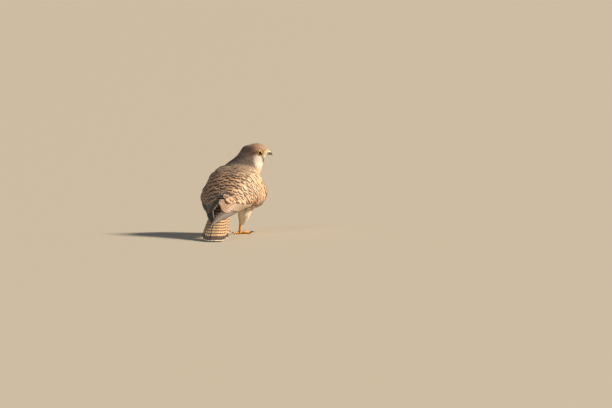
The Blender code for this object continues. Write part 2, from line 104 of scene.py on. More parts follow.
FORE = np.array([math.sin(HEAD_YAW) * math.cos(HEAD_PITCH), math.cos(HEAD_YAW) * math.cos(HEAD_PITCH), math.sin(HEAD_PITCH)])
SIDE = unit(np.cross(FORE, [0, 0, 1.0]))
TOP = unit(np.cross(SIDE, FORE))


def in_head(x, y, z):
    return HEAD + SIDE * x + FORE * y + TOP * z


def to_head(p):
    q = np.asarray(p, float) - HEAD
    return np.stack([q @ SIDE, q @ FORE, q @ TOP], axis=-1)


TRUNK = np.array([
    (-73, 5, 60, 68), (-68, 13, 56, 74), (-58, 21.5, 52, 81), (-40, 31.5, 49, 97), (-20, 40.5, 47.5, 114.5),
    (0, 46.5, 47, 128.5), (20, 50, 48, 137), (40, 50.5, 52, 138.5), (58, 47, 61, 134), (72, 37, 74, 123),
    (81, 23, 88, 110), (85, 8, 96, 103)], float)
WING = np.array([
    (74, 41, 79, 38, 91, 3.5, 6), (69, 46, 71, 40, 99, 8.5, 10), (59, 49.5, 62.5, 39, 109, 14.5, 14), (42, 51.5, 56, 35, 119, 18.5, 16),
    (18, 50, 52.5, 28, 124, 20.5, 17), (-10, 46.5, 51, 21, 112, 23.0, 16), (-40, 40.5, 47.5, 10, 96, 18.0, 13),
    (-70, 33.0, 43.0, 3.5, 81, 10.5, 7), (-100, 25.0, 38.0, 1.0, 63, 7.5, 4.4), (-130, 13.0, 31.5, -0.5, 46.5, 3.6, 3.2),
    (-150, 5.5, 27.5, -2.0, 34.0, 1.6, 2.4), (-162, 1.6, 25.6, -1.6, 27.0, 0.3, 1.6)], float)


def dense(rows, per=24):
    """Rows read off a Catmull-Rom curve, dense enough to interpolate."""
    n, out = len(rows), []
    for t in np.linspace(0, n - 1, (n - 1) * per + 1):
        i = min(int(t), n - 2)
        f = t - i
        a, b, c, d = rows[max(i - 1, 0)], rows[i], rows[i + 1], rows[min(i + 2, n - 1)]
        out.append(0.5 * (2 * b + (c - a) * f + (2 * a - 5 * b + 4 * c - d) * f * f + (3 * b - a - 3 * c + d) * f ** 3))
    return np.array(out)


TRUNK_D, WING_D = dense(TRUNK), dense(WING)[::-1]


def bend(y):
    y = np.asarray(y, float)
    return 3.2 * smooth(-25, 60, y) + 4.5 * (1 - smooth(-95, -35, y)) + 0.065 * np.maximum(0.0, -95.0 - y)


def trunk_half(y, z):
    half, low, top = (np.interp(y, TRUNK_D[:, 0], TRUNK_D[:, k], left=0, right=0) for k in (1, 2, 3))
    wide = low + 0.46 * (top - low)
    f = np.where(z > wide, (z - wide) / np.maximum(top - wide, 1e-6), (wide - z) / np.maximum(wide - low, 1e-6))
    return half * np.maximum(0.0, 1 - np.clip(f, 0, 1) ** 2.6) ** (1 / 2.6)


def wing_at(side, y, v, out=0.0):
    """Point of the folded wing's outer face: v from its lower (0) to its upper edge (1), out millimetres off it."""
    y, v = np.broadcast_arrays(np.asarray(y, float), np.asarray(v, float))

    def face(y, v):
        xl, zl, xu, zu, bow = (np.interp(y, WING_D[:, 0], WING_D[:, k]) for k in (1, 2, 3, 4, 5))
        z = zl + (zu - zl) * v
        x = xl + (xu - xl) * v + 4 * bow * v * (1 - v)
        t = trunk_half(y, z)
        leanx = trunk_half(y, z - 0.5) - trunk_half(y, z + 0.5)
        b = t + 2.6 * np.minimum(3.5, np.hypot(1.0, leanx))
        x = np.where(t > 0, 0.5 * (x + b + np.sqrt((x - b) ** 2 + 4.0)), x)
        z = z + (2.2 * smooth(85, 140, -y) if side == "right" else 0.0)
        x = x + (-2.0 if side == "right" else 2.0) * smooth(70, 160, -y) * (1.0 if side == "right" else -1.0)
        return np.stack([x, y, z], -1)

    p = face(y, v)
    dy = face(y + 1.5, v) - face(y - 1.5, v)
    dv = face(y, v + 0.02) - face(y, v - 0.02)
    n = unit(np.cross(dy, dv))
    n = np.where(n[..., :1] < 0, -n, n)
    p = p + n * np.asarray(out)[..., None]
    if side == "left":
        p, n = p * [-1, 1, 1], n * [-1, 1, 1]
    p[..., 0] += bend(y)
    return p, n


def wing_chord(y):
    xl, zl, xu, zu, bow = (np.interp(y, WING_D[:, 0], WING_D[:, k]) for k in (1, 2, 3, 4, 5))
    return np.hypot(np.hypot(xl - xu, zu - zl), 1.6 * bow)


T_AHEAD = np.array([math.sin(TAIL_SWING), -math.cos(TAIL_SWING), 0])
T_RIGHT = np.array([math.cos(TAIL_SWING), math.sin(TAIL_SWING), 0])
T_ALONG = T_AHEAD * math.cos(TAIL_SLOPE) - np.array([0, 0, 1.0]) * math.sin(TAIL_SLOPE)
T_NORMAL = unit(np.cross(T_RIGHT, T_ALONG))
T_NORMAL = T_NORMAL if T_NORMAL[2] > 0 else -T_NORMAL


def tail_at(s, w, up):
    s, w, up = np.broadcast_arrays(*(np.asarray(a, float) for a in (s, w, up)))
    roof = TAIL_ROOF * (w / TAIL_HALF_END) ** 2
    return TAIL_ROOT + s[..., None] * T_ALONG + w[..., None] * T_RIGHT + (up - roof)[..., None] * T_NORMAL


def tail_half(s):
    return TAIL_HALF_ROOT + (TAIL_HALF_END - TAIL_HALF_ROOT) * (np.maximum(0.0, s) / TAIL_LENGTH) ** 0.8


# ------------------------------------------------------------------ round the body
AXIS_Z = np.array([(-110, 50), (-75, 58), (-40, 70), (0, 84), (40, 86), (75, 92), (95, 98)], float)
EDGE_PHI = np.radians([0, 30, 45, 60, 72, 82, 92, 101, 110, 118, 130])       # where the coverts end, by angle from the top
EDGE_Y = {"right": np.array([-78, -79, -78, -72, -61, -51, -40, -30, -12, 14, 40.0]),
          "left": np.array([-78, -79, -78, -76, -66, -52, -36, -22, -6, 14, 40.0])}
FRONT_PHI = np.radians([0, 30, 50, 75, 100, 130])
FRONT_Y = np.array([46, 54, 66, 73, 72, 66.0])


def axis_z(y):
    return np.interp(y, AXIS_Z[:, 0], AXIS_Z[:, 1])


def phi_of(p):
    """Angle round the body from straight up, positive to the bird's right."""
    return np.arctan2(p[..., 0] - bend(p[..., 1]), p[..., 2] - axis_z(p[..., 1]))


def coverts_end(phi):
    a = np.abs(phi)
    return np.where(np.asarray(phi) > 0, np.interp(a, EDGE_PHI, EDGE_Y["right"]), np.interp(a, EDGE_PHI, EDGE_Y["left"]))


def coverts_start(phi):
    return np.interp(np.abs(phi), FRONT_PHI, FRONT_Y)


# ------------------------------------------------------------------ node helpers
class Tree:
    """Short names for the shader nodes used below."""

    def __init__(self, name):
        self.mat = bpy.data.materials.new(name)
        self.mat.use_nodes = True
        self.t = self.mat.node_tree
        self.shader = self.t.nodes["Principled BSDF"]

    def node(self, kind, **props):
        n = self.t.nodes.new(kind)
        for k, v in props.items():
            setattr(n, k, v)
        return n

    def put(self, socket, value):
        if isinstance(value, bpy.types.NodeSocket):
            self.t.links.new(value, socket)
        elif value is not None:
            if hasattr(socket.default_value, "__len__"):
                v = list(np.atleast_1d(value).astype(float))
                v = v * 3 if len(v) == 1 else v
                socket.default_value = v + [1.0] * (len(socket.default_value) - len(v)) if len(v) < len(socket.default_value) else v
            else:
                socket.default_value = float(value)

    def m(self, op, a, b=None, c=None, clamp=False):
        n = self.node("ShaderNodeMath", operation=op, use_clamp=clamp)
        for s, v in zip(n.inputs, (a, b, c)):
            self.put(s, v)
        return n.outputs[0]

    def mix(self, f, a, b, blend="MIX"):
        n = self.node("ShaderNodeMix", data_type="RGBA", blend_type=blend)
        n.clamp_factor = True
        self.put(n.inputs[0], f)
        self.put(n.inputs[6], a)
        self.put(n.inputs[7], b)
        return n.outputs[2]

    def step(self, a, b, x):
        n = self.node("ShaderNodeMapRange", interpolation_type="SMOOTHSTEP")
        self.put(n.inputs[0], x)
        n.inputs[1].default_value, n.inputs[2].default_value = a, b
        return n.outputs[0]

    def attr(self, name):
        return self.node("ShaderNodeAttribute", attribute_name=name)

    def xyz(self, vector):
        n = self.node("ShaderNodeSeparateXYZ")
        self.put(n.inputs[0], vector)
        return n.outputs

    def noise(self, vector, scale, detail=3.0, rough=0.5):
        n = self.node("ShaderNodeTexNoise")
        if vector is not None:
            self.put(n.inputs["Vector"], vector)
        n.inputs["Scale"].default_value, n.inputs["Detail"].default_value, n.inputs["Roughness"].default_value = scale, detail, rough
        return n.outputs[0]

    def bump(self, height, strength, distance):
        n = self.node("ShaderNodeBump")
        n.inputs["Strength"].default_value, n.inputs["Distance"].default_value = strength, distance
        self.put(n.inputs["Height"], height)
        self.t.links.new(n.outputs[0], self.shader.inputs["Normal"])

    def finish(self, colour, rough, spec=0.5, coat=0.0, coat_rough=0.1, sheen=0.0):
        self.put(self.shader.inputs["Base Color"], colour)
        self.put(self.shader.inputs["Roughness"], rough)
        self.shader.inputs["Specular IOR Level"].default_value = spec
        self.shader.inputs["Coat Weight"].default_value = coat
        self.shader.inputs["Coat Roughness"].default_value = coat_rough
        self.shader.inputs["Sheen Weight"].default_value = sheen
        return self.mat


def vane_material(name):
    """Feather vane: tint, dark marks across or along it, pale edge, fine barbs."""
    t = Tree(name)
    uv = t.node("ShaderNodeUVMap", uv_map="vane")
    u, v, _ = t.xyz(uv.outputs[0])
    dim = t.xyz(t.attr("dim").outputs["Vector"])          # length, width, a random number
    bar = t.xyz(t.attr("bar").outputs["Vector"])          # first bar from the tip, its depth, the period
    pat = t.xyz(t.attr("pat").outputs["Vector"])          # strengths: bars, shaft streak, pale edge
    tint, dark = t.attr("tint").outputs["Color"], t.attr("dark").outputs["Color"]
    across = t.m("MULTIPLY", t.m("SUBTRACT", t.m("MULTIPLY", u, 2.0), 1.0), t.m("MULTIPLY", dim[1], 0.5))   # mm from the shaft
    side = t.m("ABSOLUTE", across)
    rel = t.m("ABSOLUTE", t.m("SUBTRACT", t.m("MULTIPLY", u, 2.0), 1.0))
    back = t.m("MULTIPLY", t.m("SUBTRACT", 1.0, v), dim[0])                                             # mm from the tip
    where = t.node("ShaderNodeCombineXYZ")
    t.put(where.inputs[0], across)
    t.put(where.inputs[1], back)
    t.put(where.inputs[2], t.m("MULTIPLY", dim[2], 97.0))
    rag = t.m("SUBTRACT", t.noise(where.outputs[0], 0.35, 3.0, 0.6), 0.5)
    b = t.m("ADD", t.m("SUBTRACT", back, t.m("MULTIPLY", t.m("MULTIPLY", side, side), 0.045)), t.m("MULTIPLY", rag, 3.2))
    ph = t.m("SUBTRACT", b, bar[0])
    fr = t.m("MULTIPLY", t.m("FRACT", t.m("DIVIDE", ph, bar[2])), bar[2])     # mm into the period
    rise = t.step(0.0, 0.7, fr)
    fall = t.m("SUBTRACT", 1.0, t.step(0.0, 0.9, t.m("SUBTRACT", fr, bar[1])))
    on = t.step(-0.6, 0.4, ph)
    inside = t.m("SUBTRACT", 1.0, t.m("MULTIPLY", t.step(0.66, 0.97, t.m("ADD", rel, t.m("MULTIPLY", rag, 0.5))), 0.8))
    bars = t.m("MULTIPLY", t.m("MULTIPLY", t.m("MULTIPLY", t.m("MULTIPLY", rise, fall), on), pat[0]), inside, clamp=True)
    streak = t.m("SUBTRACT", 1.0, t.step(0.35, 1.1, t.m("ADD", side, t.m("MULTIPLY", rag, 0.9))))
    streak = t.m("MULTIPLY", t.m("MULTIPLY", streak, t.step(1.0, 2.6, back)), pat[1], clamp=True)
    mark = t.m("MAXIMUM", bars, streak)
    col = t.mix(mark, tint, dark)
    edge = t.m("MULTIPLY", t.m("MAXIMUM", t.step(0.72, 0.98, rel), t.m("SUBTRACT", 1.0, t.step(0.5, 2.0, back))), pat[2], clamp=True)
    pale = t.mix(0.55, tint, lin(252, 240, 220))
    col = t.mix(edge, col, pale)
    # the shaft itself, a thin line a little darker than the vane
    shaft = t.m("SUBTRACT", 1.0, t.step(0.10, 0.32, side))
    col = t.mix(t.m("MULTIPLY", shaft, 0.35), col, t.mix(0.5, dark, tint))
    barb = t.m("SINE", t.m("MULTIPLY", t.m("ADD", t.m("MULTIPLY", side, 0.8), back), 13.0))
    barb = t.m("MULTIPLY", barb, t.step(2.2, 9.0, dim[1]))
    fine = t.noise(where.outputs[0], 2.2, 2.0, 0.6)
    shade = t.m("ADD", t.m("ADD", 0.86, t.m("MULTIPLY", barb, 0.035)), t.m("MULTIPLY", fine, 0.28))
    hue = t.node("ShaderNodeHueSaturation")
    t.put(hue.inputs["Value"], t.m("MULTIPLY", shade, t.m("ADD", 0.92, t.m("MULTIPLY", dim[2], 0.16))))
    t.put(hue.inputs["Color"], col)
    t.bump(t.m("ADD", t.m("MULTIPLY", barb, 0.5), t.m("MULTIPLY", shaft, 1.2)), 0.25, 0.00010)
    return t.finish(hue.outputs[0], 0.62, spec=0.35, sheen=0.12)


# ------------------------------------------------------------------ the skin
def new_object(name, verts, faces, smooth_shade=True):
    mesh = bpy.data.meshes.new(name)
    mesh.from_pydata([tuple(v) for v in verts], [], [tuple(f) for f in faces])
    mesh.update()
    obj = bpy.data.objects.new(name, mesh)
    bpy.context.scene.collection.objects.link(obj)
    if smooth_shade:
        mesh.polygons.foreach_set("use_smooth", [True] * len(mesh.polygons))
    return obj


def settle(obj):
    graph = bpy.context.evaluated_depsgraph_get()
    mesh = bpy.data.meshes.new_from_object(obj.evaluated_get(graph))
    obj.modifiers.clear()
    old, obj.data = obj.data, mesh
    bpy.data.meshes.remove(old)
    mesh.polygons.foreach_set("use_smooth", [True] * len(mesh.polygons))
    return obj


def coords(mesh, kind="vertices", what="co"):
    data = getattr(mesh, kind)
    out = np.empty(len(data) * 3, np.float32)
    data.foreach_get(what, out)
    return out.reshape(-1, 3).astype(float)


def set_coords(mesh, co):
    mesh.vertices.foreach_set("co", np.asarray(co, np.float32).ravel())
    mesh.update()


FLESH = ["head", "neck", "trunk", "thigh_left", "thigh_right", "wing_left", "wing_right"]
NODE_TREES = {}


def node_at(points):
    """Which flesh node lies nearest each point (index into FLESH)."""
    if not NODE_TREES:
        for n in FLESH:
            mesh = bpy.data.objects[n].data
            NODE_TREES[n] = BVHTree.FromPolygons([tuple(c) for c in bird(coords(mesh))], [tuple(p.vertices) for p in mesh.polygons])
    best, which = np.full(len(points), 1e9), np.zeros(len(points), int)
    for k, n in enumerate(FLESH):
        tree = NODE_TREES[n]
        d = np.array([tree.find_nearest(p)[3] for p in points])
        near = d < best
        best[near], which[near] = d[near], k
    return which


def coat_depth(p, normal=None):
    """How deep the skin lies under the solid's face: thin on the head, deep on breast, belly and under the flight feathers."""
    h = to_head(p)
    r = np.linalg.norm(h * [1.0, 0.9, 1.0], axis=-1)
    depth = 2.6 - 1.3 * (1 - smooth(18, 34, r))
    depth = depth - 0.7 * smooth(12, 19, h[..., 1]) * (r < 30)
    low = smooth(50, 24, p[..., 2]) * (p[..., 1] > -20)
    depth = depth * (1 - 0.45 * low)
    if normal is not None:
        phi = phi_of(p)
        past = coverts_end(phi) - p[..., 1]
        outward = normal[..., 0] * np.sign(phi)
        on = smooth(-8, 6, past) * smooth(0.05, 0.35, outward + 0.4 * normal[..., 2]) * (np.abs(phi) > 0.2) * smooth(128, 116, np.degrees(np.abs(phi)))
        depth = depth + 1.5 * on
        rear = smooth(55, 72, -p[..., 1]) * smooth(0.0, -0.3, outward)
        depth = depth * (1 - rear) + 0.5 * rear
    return depth


EYE_AXIS = {s: unit(SIDE * k * EYE_OUT[0] + FORE * EYE_OUT[1] + TOP * EYE_OUT[2]) for s, k in (("right", 1), ("left", -1))}
EYE_MID = {s: in_head(EYE_AT[0] * k, EYE_AT[1], EYE_AT[2]) for s, k in (("right", 1), ("left", -1))}
APERTURE = 4.15


def eye_frame(side, p):
    """Along the eye's axis, and distance from it with the upper lid a little lower."""
    q = np.asarray(p) - EYE_MID[side]
    a = EYE_AXIS[side]
    h = q @ a
    flat = q - h[..., None] * a
    up = flat @ unit(TOP - a * (TOP @ a))
    r = np.linalg.norm(flat, axis=-1)
    return h, r * (1 + 0.10 * smooth(1.0, 4.5, up)), up


def make_skin():
    bm = bmesh.new()
    for n in FLESH:
        part = bmesh.new()
        part.from_mesh(bpy.data.objects[n].data)
        bmesh.ops.remove_doubles(part, verts=part.verts[:], dist=1e-6)
        if n.startswith("wing"):
            cut = bmesh.ops.bisect_plane(part, geom=part.verts[:] + part.edges[:] + part.faces[:], plane_co=world([0, -58, 0]), plane_no=(0, -1, 0), clear_outer=True)
            bmesh.ops.holes_fill(part, edges=[e for e in part.edges if e.is_boundary], sides=0)
            bmesh.ops.triangulate(part, faces=part.faces[:])
        part.normal_update()
        for v in part.verts:
            v.co += v.normal * 0.0004
        mesh = bpy.data.meshes.new("tmp")
        part.to_mesh(mesh)
        part.free()
        bm.from_mesh(mesh)
        bpy.data.meshes.remove(mesh)
    mesh = bpy.data.meshes.new("skin")
    bm.to_mesh(mesh)
    bm.free()
    skin = bpy.data.objects.new("skin", mesh)
    bpy.context.scene.collection.objects.link(skin)
    mod = skin.modifiers.new("remesh", "REMESH")
    mod.mode, mod.voxel_size, mod.use_smooth_shade = "VOXEL", 0.00128, True
    mod = skin.modifiers.new("smooth", "SMOOTH")
    mod.factor, mod.iterations = 0.5, 12
    settle(skin)
    # only the outer surface
    bm = bmesh.new()
    bm.from_mesh(skin.data)
    bm.verts.ensure_lookup_table()
    seen, groups = np.zeros(len(bm.verts), bool), []
    for seed in bm.verts:
        if seen[seed.index]:
            continue
        seen[seed.index] = True
        group, stack = [seed], [seed]
        while stack:
            for e in stack.pop().link_edges:
                for v in e.verts:
                    if not seen[v.index]:
                        seen[v.index] = True
                        group.append(v)
                        stack.append(v)
        groups.append(group)
    keep = set(max(groups, key=len))
    bmesh.ops.delete(bm, geom=[v for v in bm.verts if v not in keep], context="VERTS")
    bm.to_mesh(skin.data)
    bm.free()
    co = bird(coords(skin.data))
    no = coords(skin.data, "vertices", "normal")
    co = co - no * coat_depth(co, no)[:, None]
    phi = phi_of(co)
    drawn = smooth(96, 116, np.degrees(np.abs(phi))) * smooth(12, -12, co[:, 1]) * smooth(20, 34, np.abs(co[:, 0] - bend(co[:, 1])) + 0.25 * (-co[:, 1]))
    drawn = drawn * (co[:, 2] > 40)
    co[:, 2] += 5.0 * drawn
    co[:, 0] -= np.sign(phi) * 3.5 * drawn
    set_coords(skin.data, world(co))
    mod = skin.modifiers.new("smooth", "SMOOTH")
    mod.factor, mod.iterations = 0.5, 5
    settle(skin)
    # finer mesh round the eyes, then the sockets and lids
    for _ in range(2):
        bm = bmesh.new()
        bm.from_mesh(skin.data)
        near = set()
        for side in ("left", "right"):
            c = Vector(world(EYE_MID[side] + EYE_AXIS[side] * 5.5))
            for e in bm.edges:
                if ((e.verts[0].co + e.verts[1].co) / 2 - c).length < 0.0095:
                    near.add(e)
        bmesh.ops.subdivide_edges(bm, edges=list(near), cuts=1, use_grid_fill=True)
        bmesh.ops.triangulate(bm, faces=[f for f in bm.faces if len(f.verts) > 4])
        bm.to_mesh(skin.data)
        bm.free()
    co = bird(coords(skin.data))
    for side in ("left", "right"):
        h, r, up = eye_frame(side, co)
        q = co - EYE_MID[side]
        away = unit(q)
        near = (h > 0) & (r < 9.5)
        lid = EYE_MID[side] + away * (EYE_R - 0.35)
        cup = EYE_MID[side] + away * (EYE_R - 1.6)
        w = smooth(APERTURE + 1.9, APERTURE + 5.3, r)[:, None]
        shaped = np.where((r < APERTURE)[:, None], cup, lid * (1 - w) + co * w)
        # the bony brow over the eye
        brow = np.exp(-((up - 6.4) / 1.7) ** 2) * smooth(9.5, 5.0, np.abs(q @ FORE)) * 0.9
        shaped = shaped + EYE_AXIS[side] * (brow * (r > APERTURE))[:, None]
        co = np.where(near[:, None], shaped, co)
    set_coords(skin.data, world(co))
    # the bare ring round each eye, one band of the same mesh
    bm = bmesh.new()
    bm.from_mesh(skin.data)
    for side in ("left", "right"):
        a = EYE_AXIS[side]
        e1 = unit(FORE - a * (FORE @ a))
        e2 = unit(TOP - a * (TOP @ a))
        prof = [(4.15, 0.0), (4.2, 0.25), (4.38, 0.42), (4.65, 0.50), (4.95, 0.46), (5.25, 0.50), (5.55, 0.40), (5.85, 0.12), (6.2, -0.35), (6.6, -1.1), (7.1, -2.2)]
        rings = []
        for r, lift in prof:
            ring = []
            for k in np.linspace(0, 2 * np.pi, 72, endpoint=False):
                rx = r + 0.22 + 0.55 * max(math.cos(k), 0) ** 6 * (r < 6) + 0.35 * max(-math.cos(k), 0) ** 6 * (r < 6)
                ry = r - 0.10 - 0.22 * max(math.sin(k), 0)
                x, y = rx * math.cos(k), ry * math.sin(k)
                crease = 0.07 * math.sin(k * 31 + r * 4)
                h = math.sqrt(max(EYE_R ** 2 - x * x - y * y, 0.5))
                base = EYE_MID[side] + a * h + e1 * x + e2 * y
                ring.append(bm.verts.new(world(base + unit(base - EYE_MID[side]) * (lift + crease * (4.2 < r < 6.5)))))
            rings.append(ring)
        for p0, p1 in zip(rings, rings[1:]):
            for k in range(72):
                quad = (p0[k], p0[(k + 1) % 72], p1[(k + 1) % 72], p1[k])
                bm.faces.new(quad if side == "right" else quad)
    bm.normal_update()
    for f in bm.faces:
        if len(f.verts) == 4:
            for side in ("left", "right"):
                c = bird(np.array(f.calc_center_median()))
                q = c - EYE_MID[side]
                if np.linalg.norm(q) < 9 and q @ EYE_AXIS[side] > 0 and np.array(f.normal) @ q < 0:
                    f.normal_flip()
    bm.to_mesh(skin.data)
    bm.free()
    skin.data.polygons.foreach_set("use_smooth", [True] * len(skin.data.polygons))
    return skin


# ------------------------------------------------------------------ the lie of the feathers
H_FLOW = [  # where in the head, which way
    ((0, 19, 6), (0, -1, 0.45)), ((0, 8, 18), (0, -1, 0.1)), ((0, -10, 18), (0, -1, -0.2)), ((0, -26, 8), (0, -0.6, -0.8)),
    ((10, 15, 2), (0.35, -1, 0.1)), ((9, 15, -9), (0.2, -0.9, -0.5)), ((17, 0, -9), (0.05, -0.85, -0.6)), ((18, -10, 3), (0, -1, -0.35)),
    ((17, -16, -12), (0, -0.6, -0.8)), ((0, 17, -9), (0, -0.5, -0.9)), ((0, 10, -18), (0, -0.3, -1)), ((14, 6, 9), (0.15, -1, 0.15)),
]
B_FLOW = [  # where in the bird, which way; mirrored rows end with True
    ((12, 62, 152), (-0.35, -0.75, -0.6), False), ((2, 46, 139), (-0.1, -0.95, -0.35), False), ((-22, 56, 128), (-0.35, -0.55, -0.75), False),
    ((45, 64, 132), (0.1, -0.35, -0.95), False), ((46, 66, 118), (0.15, -0.45, -0.9), False), ((3, 25, 137), (0, -1, -0.15), False),
    ((1, -5, 127), (0, -1, -0.55), False), ((0, -35, 102), (0, -1, -0.7), False), ((36, 25, 126), (0.12, -1, -0.4), True),
    ((30, -15, 115), (-0.1, -1, -0.6), True), ((57, 60, 92), (0.1, -1, -0.35), True), ((60, 25, 82), (0, -1, -0.30), True),
    ((56, -10, 78), (-0.1, -1, -0.36), True), ((42, -45, 70), (-0.3, -1, -0.42), True), ((52, 35, 58), (0, -1, -0.06), True),
    ((6, 84, 100), (0, -0.25, -1), False), ((22, 82, 122), (0.05, -0.15, -1), False), ((4, 70, 70), (0, -0.75, -0.65), False),
    ((30, 74, 84), (0.1, -0.5, -0.85), True), ((3, 30, 50), (0, -1, -0.05), False), ((2, -40, 49), (0, -1, 0.12), False),
    ((2, -72, 58), (0.1, -1, -0.3), False), ((46, 45, 60), (0, -0.9, -0.4), True), ((42, 22, 45), (-0.1, -0.45, -0.9), True),
    ((30, 42, 60), (0, -0.55, -0.85), True), ((30, 14, 28), (-0.12, -0.25, -1), True), ((16, 15, 45), (0.1, -0.35, -0.95), True),
    ((0, -60, 82), (0.08, -1, -0.5), False),
]


def flow_table():
    at, way = [], []
    for p, d in H_FLOW:
        for s in ((1, -1) if p[0] else (1,)):
            at.append(in_head(p[0] * s, p[1], p[2]))
            way.append(unit(SIDE * d[0] * s + FORE * d[1] + TOP * d[2]))
    for p, d, mirror in B_FLOW:
        for s in ((1, -1) if mirror else (1,)):
            at.append(np.array([p[0] * s, p[1], p[2]], float))
            way.append(unit(np.array([d[0] * s, d[1], d[2]], float)))
    return np.array(at), np.array(way)


FLOW_AT, FLOW_WAY = flow_table()


def flow(p, n):
    """Which way a feather rooted at p lies, along the skin whose normal is n."""
    d2 = ((p[:, None, :] - FLOW_AT[None]) ** 2).sum(-1)
    w = 1.0 / (d2 + 60.0) ** 2
    f = unit((w[..., None] * FLOW_WAY[None]).sum(1))
    return unit(f - (f * n).sum(-1, keepdims=True) * n)


# ------------------------------------------------------------------ colours of the coat
C = {
    # the nape colour is its own streaked brown darkened with painted shade
    "crown": lin(178, 132, 96), "forehead": lin(216, 186, 152), "nape_and_shade": lin(104, 80, 64), "brow": lin(214, 186, 152),
    "stripe": lin(66, 50, 42), "cheek": lin(232, 216, 196), "throat": lin(242, 228, 205), "ear": lin(176, 142, 114),
    # the paler mantle colour is painted light, laid where the light falls on the back and coverts
    "mantle": lin(214, 166, 124), "mantle_painted_light": lin(232, 196, 156), "rump": lin(186, 150, 120), "covert": lin(224, 178, 132),
    "breast": lin(243, 226, 194), "belly": lin(240, 224, 200), "thigh": lin(240, 222, 196), "vent": lin(244, 232, 214),
    "dark": lin(54, 40, 36), "dark_head": lin(88, 62, 48), "lore": lin(222, 206, 176),
    "primary": lin(60, 51, 47), "secondary": lin(158, 132, 108), "fringe": lin(226, 204, 176), "tail": lin(222, 178, 130),
    "ring": lin(236, 186, 52),
}


def blend(c, other, w):
    w = np.clip(np.asarray(w, float), 0, 1)[..., None]
    return c * (1 - w) + other * w


def paint(p, which):
    """Tint, dark mark colour and pattern strengths (bars, streak, edge) at points of the coat."""
    p = np.asarray(p, float)
    h = to_head(p)
    x, y, z = np.abs(h[:, 0]), h[:, 1], h[:, 2]
    n = len(p)
    phi = phi_of(p)
    above = smooth(108, 92, np.degrees(np.abs(phi))) * smooth(84, 70, p[:, 1])      # back rather than breast
    body = np.tile(C["breast"], (n, 1))
    body = blend(body, C["belly"], smooth(85, 60, p[:, 2]))
    body = blend(body, C["vent"], smooth(-5, -50, p[:, 1]))
    back = np.tile(C["mantle"], (n, 1))
    # painted light: the mantle is painted paler towards the bird's right side, which the key light falls on, and
    # towards the neck
    back = blend(back, C["mantle_painted_light"], smooth(10, 42, p[:, 0]) * 0.7)
    back = blend(back, C["mantle_painted_light"], smooth(8, 26, p[:, 1]) * 0.6)
    back = blend(back, C["rump"], smooth(-22, -52, p[:, 1]))
    wing = (which >= 5)
    neck_w = smooth(118, 140, p[:, 2] + 0.12 * (p[:, 1] - 50))
    low = smooth(-14, -34, z)                                   # the neck turns from the head's heading to the body's
    aft = y * (1 - low) + (p[:, 1] - 64 + 0.15 * (p[:, 0] - 20)) * low
    tint = blend(body, back, above)
    # painted light: the coverts are painted paler on the right wing only, the side the light falls on
    tint = np.where(wing[:, None], blend(np.tile(C["covert"], (n, 1)), C["mantle_painted_light"], smooth(20, 50, p[:, 0]) * 0.35), tint)
    thigh = (which == 3) | (which == 4)
    tint = np.where(thigh[:, None], C["thigh"], tint)
    # neck: streaked brown behind, darkened with painted shade, cream in front
    neck = blend(np.tile(C["throat"], (n, 1)), C["nape_and_shade"], smooth(-11.0, -15.0, aft + 0.04 * z + 2.5))
    tint = blend(tint, neck, neck_w * (~wing))
    # head
    on_head = smooth(36, 28, np.linalg.norm(h * [1, 0.85, 0.95], axis=1)) * (z > -26)
    crown_w = smooth(-3.5, 1.5, z - 0.12 * (y - 2))
    head = blend(np.tile(C["cheek"], (n, 1)), C["crown"], crown_w)
    # the back of the head takes the nape colour: partly its own brown, partly painted shade on the side turned from the
    # light
    head = blend(head, C["nape_and_shade"], smooth(-9.5, -15, y + 2.5 * smooth(-10, 2, z)) * smooth(-26, -16, z) * 0.9)
    head = blend(head, C["ear"], smooth(-2, -9, y) * smooth(-12, -4, z) * smooth(4, -2, z) * 0.8)
    head = blend(head, C["forehead"], smooth(16.8, 19.8, y) * smooth(-2, 3, z))
    head = blend(head, C["brow"], np.exp(-((z - 5.2 - 0.05 * y) / 1.5) ** 2) * smooth(8, 13, x) * smooth(12, 6, y) * smooth(-12, -4, y) * 0.8)
    head = blend(head, C["lore"], smooth(8, 13, y) * smooth(3, -1, z))
    head = blend(head, C["throat"], smooth(9, 3, x) * smooth(-7, -11, z))
    stripe = np.exp(-((y - 6.6 + 0.16 * (z + 8)) / (3.0 + 0.08 * np.clip(-z - 4, 0, 12))) ** 2) * smooth(-3.0, -5.5, z) * smooth(-24, -18, z) * smooth(5, 8.5, x)
    line = np.exp(-((z + 0.4 + 0.10 * (-y - 4)) / 1.4) ** 2) * smooth(-2.5, -6, y) * smooth(-17, -11, y) * smooth(9, 13, x)
    front = np.exp(-((z + 0.8) / 1.5) ** 2) * smooth(5, 8, y) * smooth(16, 12, y) * smooth(6, 9, x)
    head = blend(head, C["stripe"], np.clip(stripe * 1.0 + line * 0.75 + front * 0.35, 0, 0.96))
    tint = blend(tint, head, on_head)
    dark = blend(np.tile(C["dark"], (n, 1)), lin(126, 88, 60), (1 - above) * (~wing))
    dark = blend(dark, C["dark_head"], np.maximum(on_head, neck_w * (~wing)))
    bars = np.where(wing, 0.95, above * 0.95) * (1 - neck_w * (~wing)) * (1 - on_head) * (0.45 + 0.55 * smooth(52, 22, p[:, 1] + 0.4 * (60 - p[:, 2]) * (p[:, 2] < 60)))
    streak = (1 - above) * smooth(58, 84, p[:, 2]) * 0.62 * (~wing) + (0.15 + 0.7 * smooth(-5, -16, aft)) * neck_w * (~wing)
    streak = streak * (1 - on_head) + on_head * (0.62 * crown_w + 0.25 * smooth(-6, -14, y))
    streak = np.where(thigh, 0.10, streak)
    edge = np.where(wing, 0.55, 0.40 * above + 0.12) * (1 - 0.6 * on_head)
    return tint, dark, np.stack([bars, streak, edge], -1)


